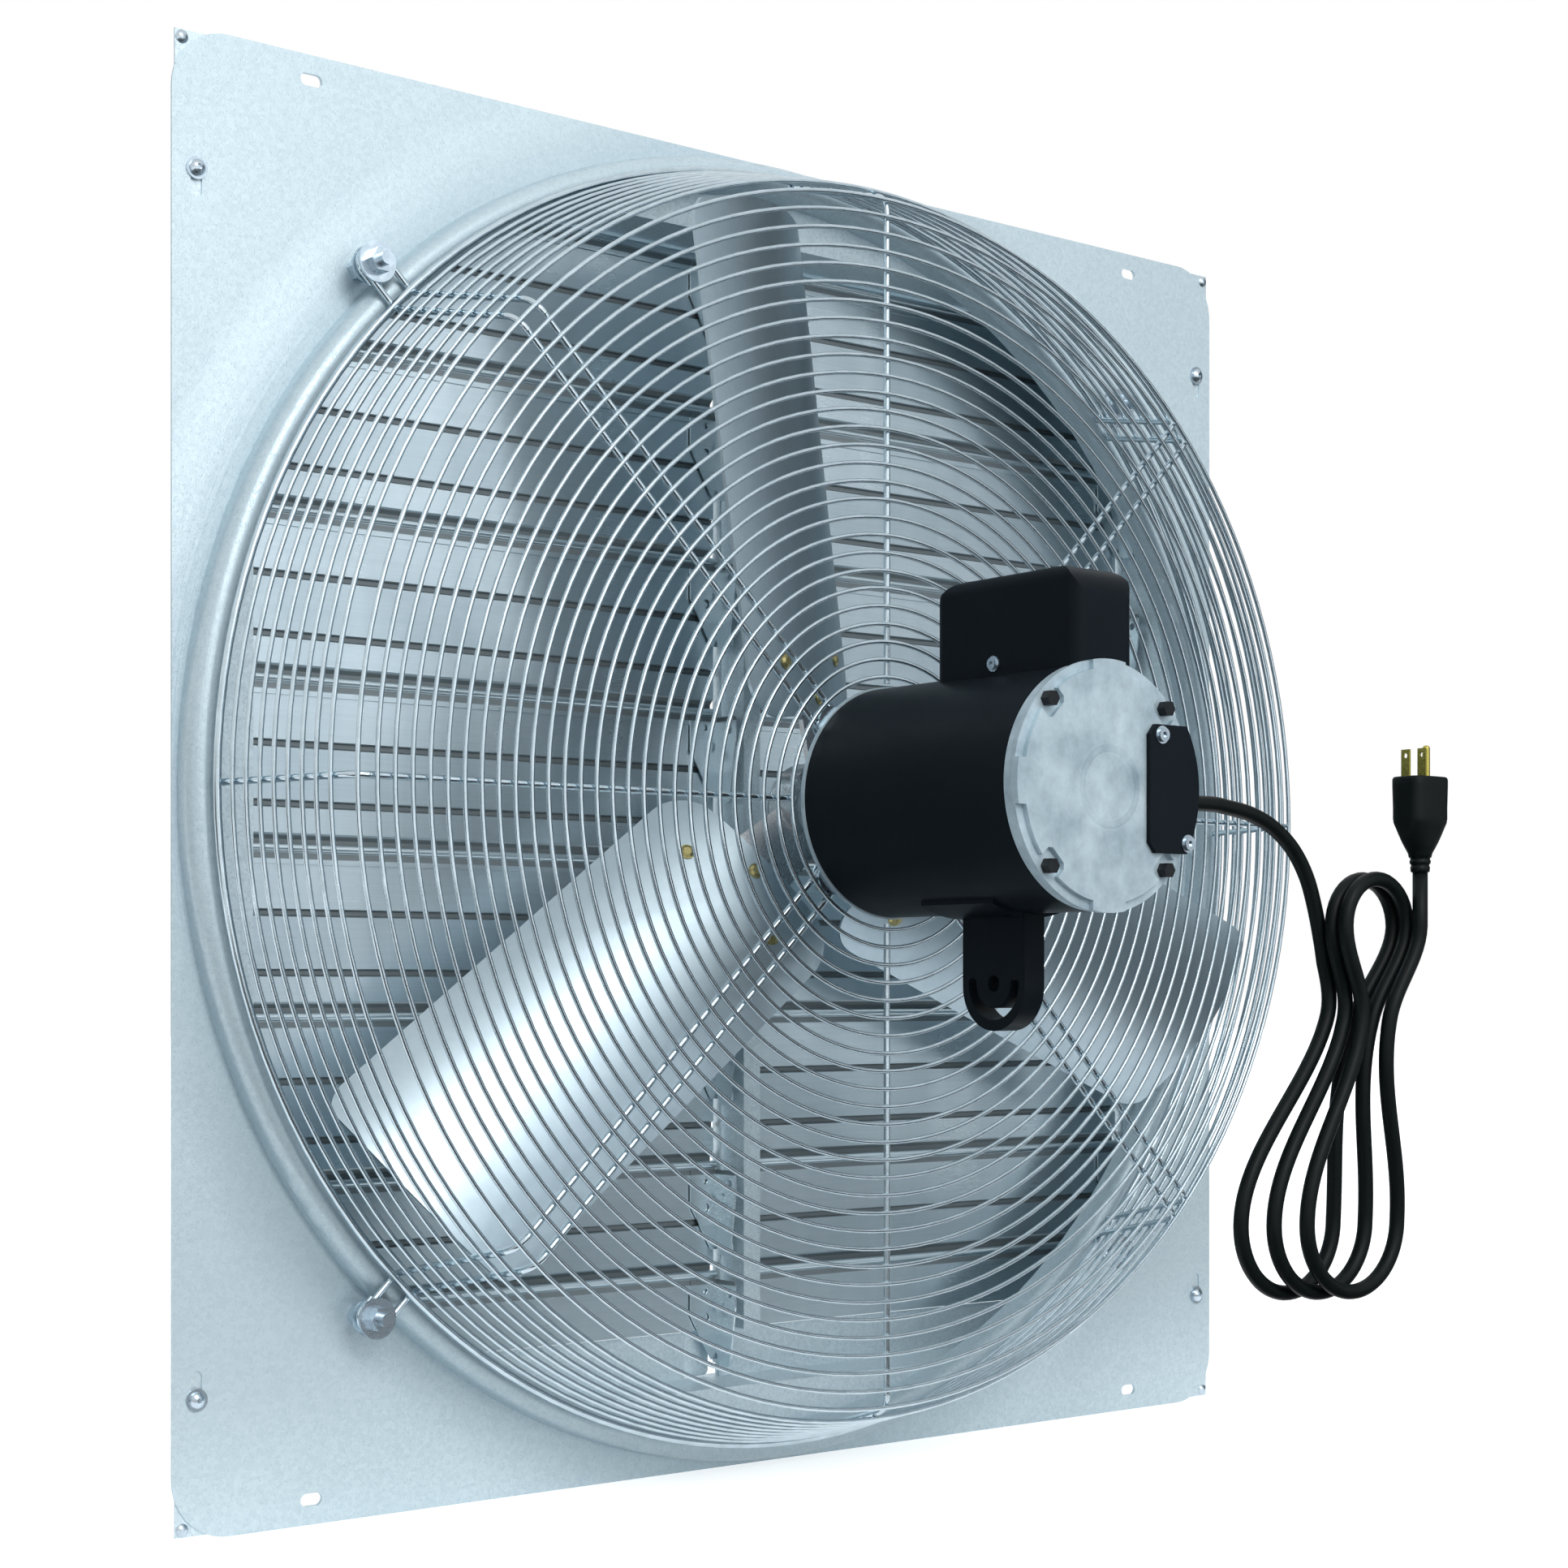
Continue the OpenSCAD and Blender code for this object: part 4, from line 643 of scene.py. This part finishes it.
looks = {
    "panelSheet": (drawnSheet, {"dark": (0.50, 0.64, 0.70), "light": (0.74, 0.87, 0.925)}),
    "galvanisedStrip": (galvanised, {
        "dark": (0.48, 0.59, 0.65), "light": (0.78, 0.90, 0.95), "cell": 560.0, "metallic": 0.5}),
    "louverSheet": (louverFinish, {
        "dark": (0.46, 0.57, 0.63), "light": (0.84, 0.94, 0.98), "metallic": 0.92,
        "rough": (0.36, 0.22), "dent": (0.0006, 0.6)}),
    "bellMetal": (bellFinish, {
        "dark": (0.26, 0.36, 0.42), "light": (0.78, 0.92, 0.98), "metallic": 0.4,
        "rough": (0.62, 0.46), "dent": (0.00022, 0.5)}),
    "bladeSheet": (rolled, {
        "dark": (0.38, 0.48, 0.54), "light": (0.58, 0.69, 0.75), "stretch": (6, 6, 6),
        "rough": (0.42, 0.26)}),
    "brightWire": (smoothSkin, {
        "dark": (0.40, 0.49, 0.54), "light": (0.64, 0.74, 0.80), "metallic": 1.0,
        "rough": (0.30, 0.16), "dent": (0.00003, 0.25), "fine": 900.0, "slow": 90.0}),
    "blueZinc": (smoothSkin, {
        "dark": (0.38, 0.46, 0.52), "light": (0.62, 0.71, 0.78), "metallic": 1.0,
        "rough": (0.36, 0.2), "dent": (0.00003, 0.3), "fine": 1200.0, "slow": 200.0}),
    "castMetal": (smoothSkin, {
        "dark": (0.32, 0.43, 0.49), "light": (0.72, 0.86, 0.93), "metallic": 0.4,
        "rough": (0.6, 0.44), "dent": (0.0002, 0.5), "fine": 480.0, "slow": 60.0}),
    "blackEnamel": (smoothSkin, {
        "dark": (0.0072, 0.0108, 0.0146), "light": (0.0112, 0.0160, 0.0208), "metallic": 0.0, "shine": 0.04,
        "rough": (0.42, 0.32), "dent": (0.00008, 0.35), "fine": 420.0, "slow": 18.0}),
    "blackOxide": (smoothSkin, {
        "dark": (0.008, 0.010, 0.012), "light": (0.028, 0.032, 0.036), "metallic": 0.6,
        "rough": (0.5, 0.36), "dent": (0.00004, 0.4), "fine": 900.0, "slow": 200.0}),
    "coreSteel": (rolled, {
        "dark": (0.22, 0.23, 0.24), "light": (0.40, 0.41, 0.42), "stretch": (30, 400, 30),
        "rough": (0.6, 0.4)}),
    "turnedSteel": (rolled, {
        "dark": (0.34, 0.36, 0.38), "light": (0.56, 0.59, 0.61), "stretch": (30, 200, 30),
        "rough": (0.34, 0.2)}),
    "copperWire": (rolled, {
        "dark": (0.30, 0.11, 0.04), "light": (0.62, 0.28, 0.12), "stretch": (120, 120, 120),
        "rough": (0.5, 0.3)}),
    "brightBrass": (smoothSkin, {
        "dark": (0.34, 0.29, 0.12), "light": (0.56, 0.50, 0.24), "metallic": 0.9,
        "rough": (0.34, 0.2), "dent": (0.00003, 0.3), "fine": 900.0, "slow": 160.0}),
    "yellowBrass": (smoothSkin, {
        "dark": (0.42, 0.36, 0.07), "light": (0.62, 0.55, 0.14), "metallic": 0.9,
        "rough": (0.34, 0.2), "dent": (0.00003, 0.3), "fine": 900.0, "slow": 160.0}),
    "cordRubber": (smoothSkin, {
        "dark": (0.003, 0.0055, 0.006), "light": (0.006, 0.010, 0.010), "metallic": 0.0, "shine": 0.14,
        "rough": (0.5, 0.38), "dent": (0.00006, 0.5), "fine": 1100.0, "slow": 60.0}),
}
finishes = {name: make(name, look) for name, (make, look) in looks.items()}
print("materials made:", len(finishes))

slotFinish = {
    "galvanised_sheet": "galvanisedStrip", "bright_zinc": "brightWire", "louver_aluminium": "louverSheet",
    "blade_aluminium": "bladeSheet", "cast_aluminium": "castMetal", "black_enamel": "blackEnamel",
    "black_steel": "blackOxide", "core_steel": "coreSteel", "turned_steel": "turnedSteel",
    "copper_winding": "copperWire", "brass": "brightBrass", "black_rubber": "cordRubber",
}
nodeFinish = {
    "guard_bolts": "blueZinc", "guard_nuts": "blueZinc", "guard_washers": "blueZinc",
    "mount_nuts": "blueZinc", "mount_washers": "blueZinc", "panel_screws": "blueZinc",
    "frame_rivets": "blueZinc", "motor_screws": "blueZinc",
    "left_tie_bar": "galvanisedStrip", "right_tie_bar": "galvanisedStrip",
    "venturi_panel": "panelSheet", "plug_blades": "yellowBrass", "rear_end_bell": "bellMetal",
}


def paint(piece, name):
    piece.data.materials.clear()
    piece.data.materials.append(finishes[name])


for part in frame["record"]["subparts"]:
    name = part["node"]
    paint(nodes[name], nodeFinish.get(name, slotFinish[part["material_slot"]]))
for piece in (mainsCord, plugGrip, strainRelief):
    paint(piece, "cordRubber")
for tab in sillTabs:
    paint(tab, "galvanisedStrip")
print("every node painted")

# Studio: a pale floor that fades into a white room away from the fan
studio = {
    "floorZ": -0.4255, "floorHalf": 14.0, "floorRough": 0.9,
    "floorColor": (0.93, 0.93, 0.93),
    "floorLight": (0.45, 0.46, 0.47),  # what it throws up
    "fade": (1.2, 5.0), "glow": (0.62, 1.0),
    "roomColor": (0.90, 0.94, 1.0, 1),
    "roomRise": (-0.1, 0.8), "roomStrength": (0.40, 0.62),  # brighter overhead
    "cardLift": 0.006,
}


def quad(name, corners, material):
    mesh = bpy.data.meshes.new(name)
    mesh.from_pydata(corners, [], [(0, 1, 2, 3)])
    mesh.materials.append(material)
    return addToScene(name, mesh)


def cameraOrGlossy(tree, ray):
    return maths(tree, "MAXIMUM", ray.outputs["Is Camera Ray"], ray.outputs["Is Glossy Ray"])


def floorMaterial(s):
    material = bpy.data.materials.new("paleFloor")
    material.use_nodes = True
    tree = material.node_tree
    shader = tree.nodes["Principled BSDF"]
    shader.inputs["Roughness"].default_value = s["floorRough"]
    shader.inputs["Emission Color"].default_value = (1, 1, 1, 1)
    ray = node(tree, "LightPath")
    color = mixColor(tree, ray.outputs["Is Diffuse Ray"], s["floorColor"], s["floorLight"])
    tree.links.new(color, shader.inputs["Base Color"])
    away = length(tree, node(tree, "TexCoord").outputs["Object"])
    glow = maths(tree, "MULTIPLY", cameraOrGlossy(tree, ray), mapRange(tree, away, s["fade"], s["glow"]))
    tree.links.new(glow, shader.inputs["Emission Strength"])
    return material


h, floorZ = studio["floorHalf"], studio["floorZ"]
studioFloor = quad("studioFloor", [(-h, -h, floorZ), (h, -h, floorZ), (h, h, floorZ), (-h, h, floorZ)],
                   floorMaterial(studio))


def makeRoom(s):
    world = bpy.data.worlds.new("paleRoom")
    bpy.context.scene.world = world
    world.use_nodes = True
    tree = world.node_tree
    tree.nodes.clear()
    room = node(tree, "Background", {"Color": s["roomColor"]})
    sky = node(tree, "SeparateXYZ")
    tree.links.new(node(tree, "TexCoord").outputs["Generated"], sky.inputs[0])
    strength = mapRange(tree, sky.outputs["Z"], s["roomRise"], s["roomStrength"])
    tree.links.new(strength, room.inputs["Strength"])
    white = node(tree, "Background", {"Color": (1, 1, 1, 1), "Strength": 1.0})
    ray = node(tree, "LightPath")
    seen = maths(tree, "MAXIMUM", cameraOrGlossy(tree, ray), ray.outputs["Is Transmission Ray"])
    mix = node(tree, "MixShader")
    tree.links.new(seen, mix.inputs[0])
    tree.links.new(room.outputs[0], mix.inputs[1])
    tree.links.new(white.outputs[0], mix.inputs[2])
    tree.links.new(mix.outputs[0], node(tree, "OutputWorld").inputs["Surface"])


makeRoom(studio)

# Grey cards round the fan: only reflections see them, so that bright metal has something dark to show
cards = {  # from (x, y) to (x, y) along the floor, up to a height; without a height it lies on the floor
    "frontCardA": {"ends": [(0.5, -3.2), (1.8, -3.2)], "top": 2.4, "grey": 1.0},
    "frontCardB": {"ends": [(1.8, -3.2), (2.25, -3.0)], "top": 2.4, "grey": 0.22},
    "frontCardC": {"ends": [(2.25, -3.0), (2.8, -2.7)], "top": 2.4, "grey": 1.0},
    "rightCardA": {"ends": [(2.8, -2.7), (3.0, -1.3)], "top": 2.4, "grey": 0.38},
    "rightCardB": {"ends": [(3.0, -1.3), (3.1, 1.1)], "top": 2.4, "grey": 0.05},
    "leftCard": {"ends": [(-2.4, 0.9), (-2.4, -1.2)], "top": 0.15, "grey": 0.05},
    "lowCard": {"ends": [(-1.6, -0.25), (2.4, -2.6)], "top": None, "grey": 0.08},
    "backCard": {"ends": [(-2.4, 3.0), (2.4, 3.0)], "top": 2.4, "grey": 0.45},
}
cardTint = (1, 1.05, 1.1)


def cardPaint(name, grey):
    # a plain grey for reflections, clear to every other ray
    material = bpy.data.materials.new(name)
    material.use_nodes = True
    tree = material.node_tree
    tree.nodes.remove(tree.nodes["Principled BSDF"])
    plain = node(tree, "Emission", {"Color": (*(grey * c for c in cardTint), 1)})
    clear = node(tree, "BsdfTransparent")
    mix = node(tree, "MixShader")
    tree.links.new(node(tree, "LightPath").outputs["Is Glossy Ray"], mix.inputs[0])
    tree.links.new(clear.outputs[0], mix.inputs[1])
    tree.links.new(plain.outputs[0], mix.inputs[2])
    tree.links.new(mix.outputs[0], tree.nodes["Material Output"].inputs["Surface"])
    return material


for name, card in cards.items():
    (x0, y0), (x1, y1) = card["ends"]
    low, top = floorZ + studio["cardLift"], card["top"]
    if top is None:
        corners = [(x0, y0, low), (x1, y0, low), (x1, y1, low), (x0, y1, low)]
    else:
        corners = [(x0, y0, low), (x1, y1, low), (x1, y1, top), (x0, y0, top)]
    thing = quad(name, corners, cardPaint(name + "Paint", card["grey"]))

lamps = {
    "keyLamp": {"place": (-0.7, -3.2, 2.1), "size": 1.5, "watts": 55, "color": (1, 0.99, 0.97)},
    "fillLamp": {"place": (1.0, -3.4, 0.5), "size": 2.0, "watts": 18, "color": (0.93, 0.97, 1)},
    "backLamp": {"place": (0.6, 2.8, 1.6), "size": 2.4, "watts": 13, "color": (0.95, 0.98, 1)},
}
for name, lamp in lamps.items():
    data = bpy.data.lights.new(name, "AREA")
    data.size = lamp["size"]
    data.energy = lamp["watts"]
    data.color = lamp["color"]
    thing = addToScene(name, data)
    thing.location = lamp["place"]
    thing.rotation_euler = (-thing.location).to_track_quat("-Z", "Y").to_euler()
bpy.context.scene.view_settings.view_transform = "Standard"
print("studio set")
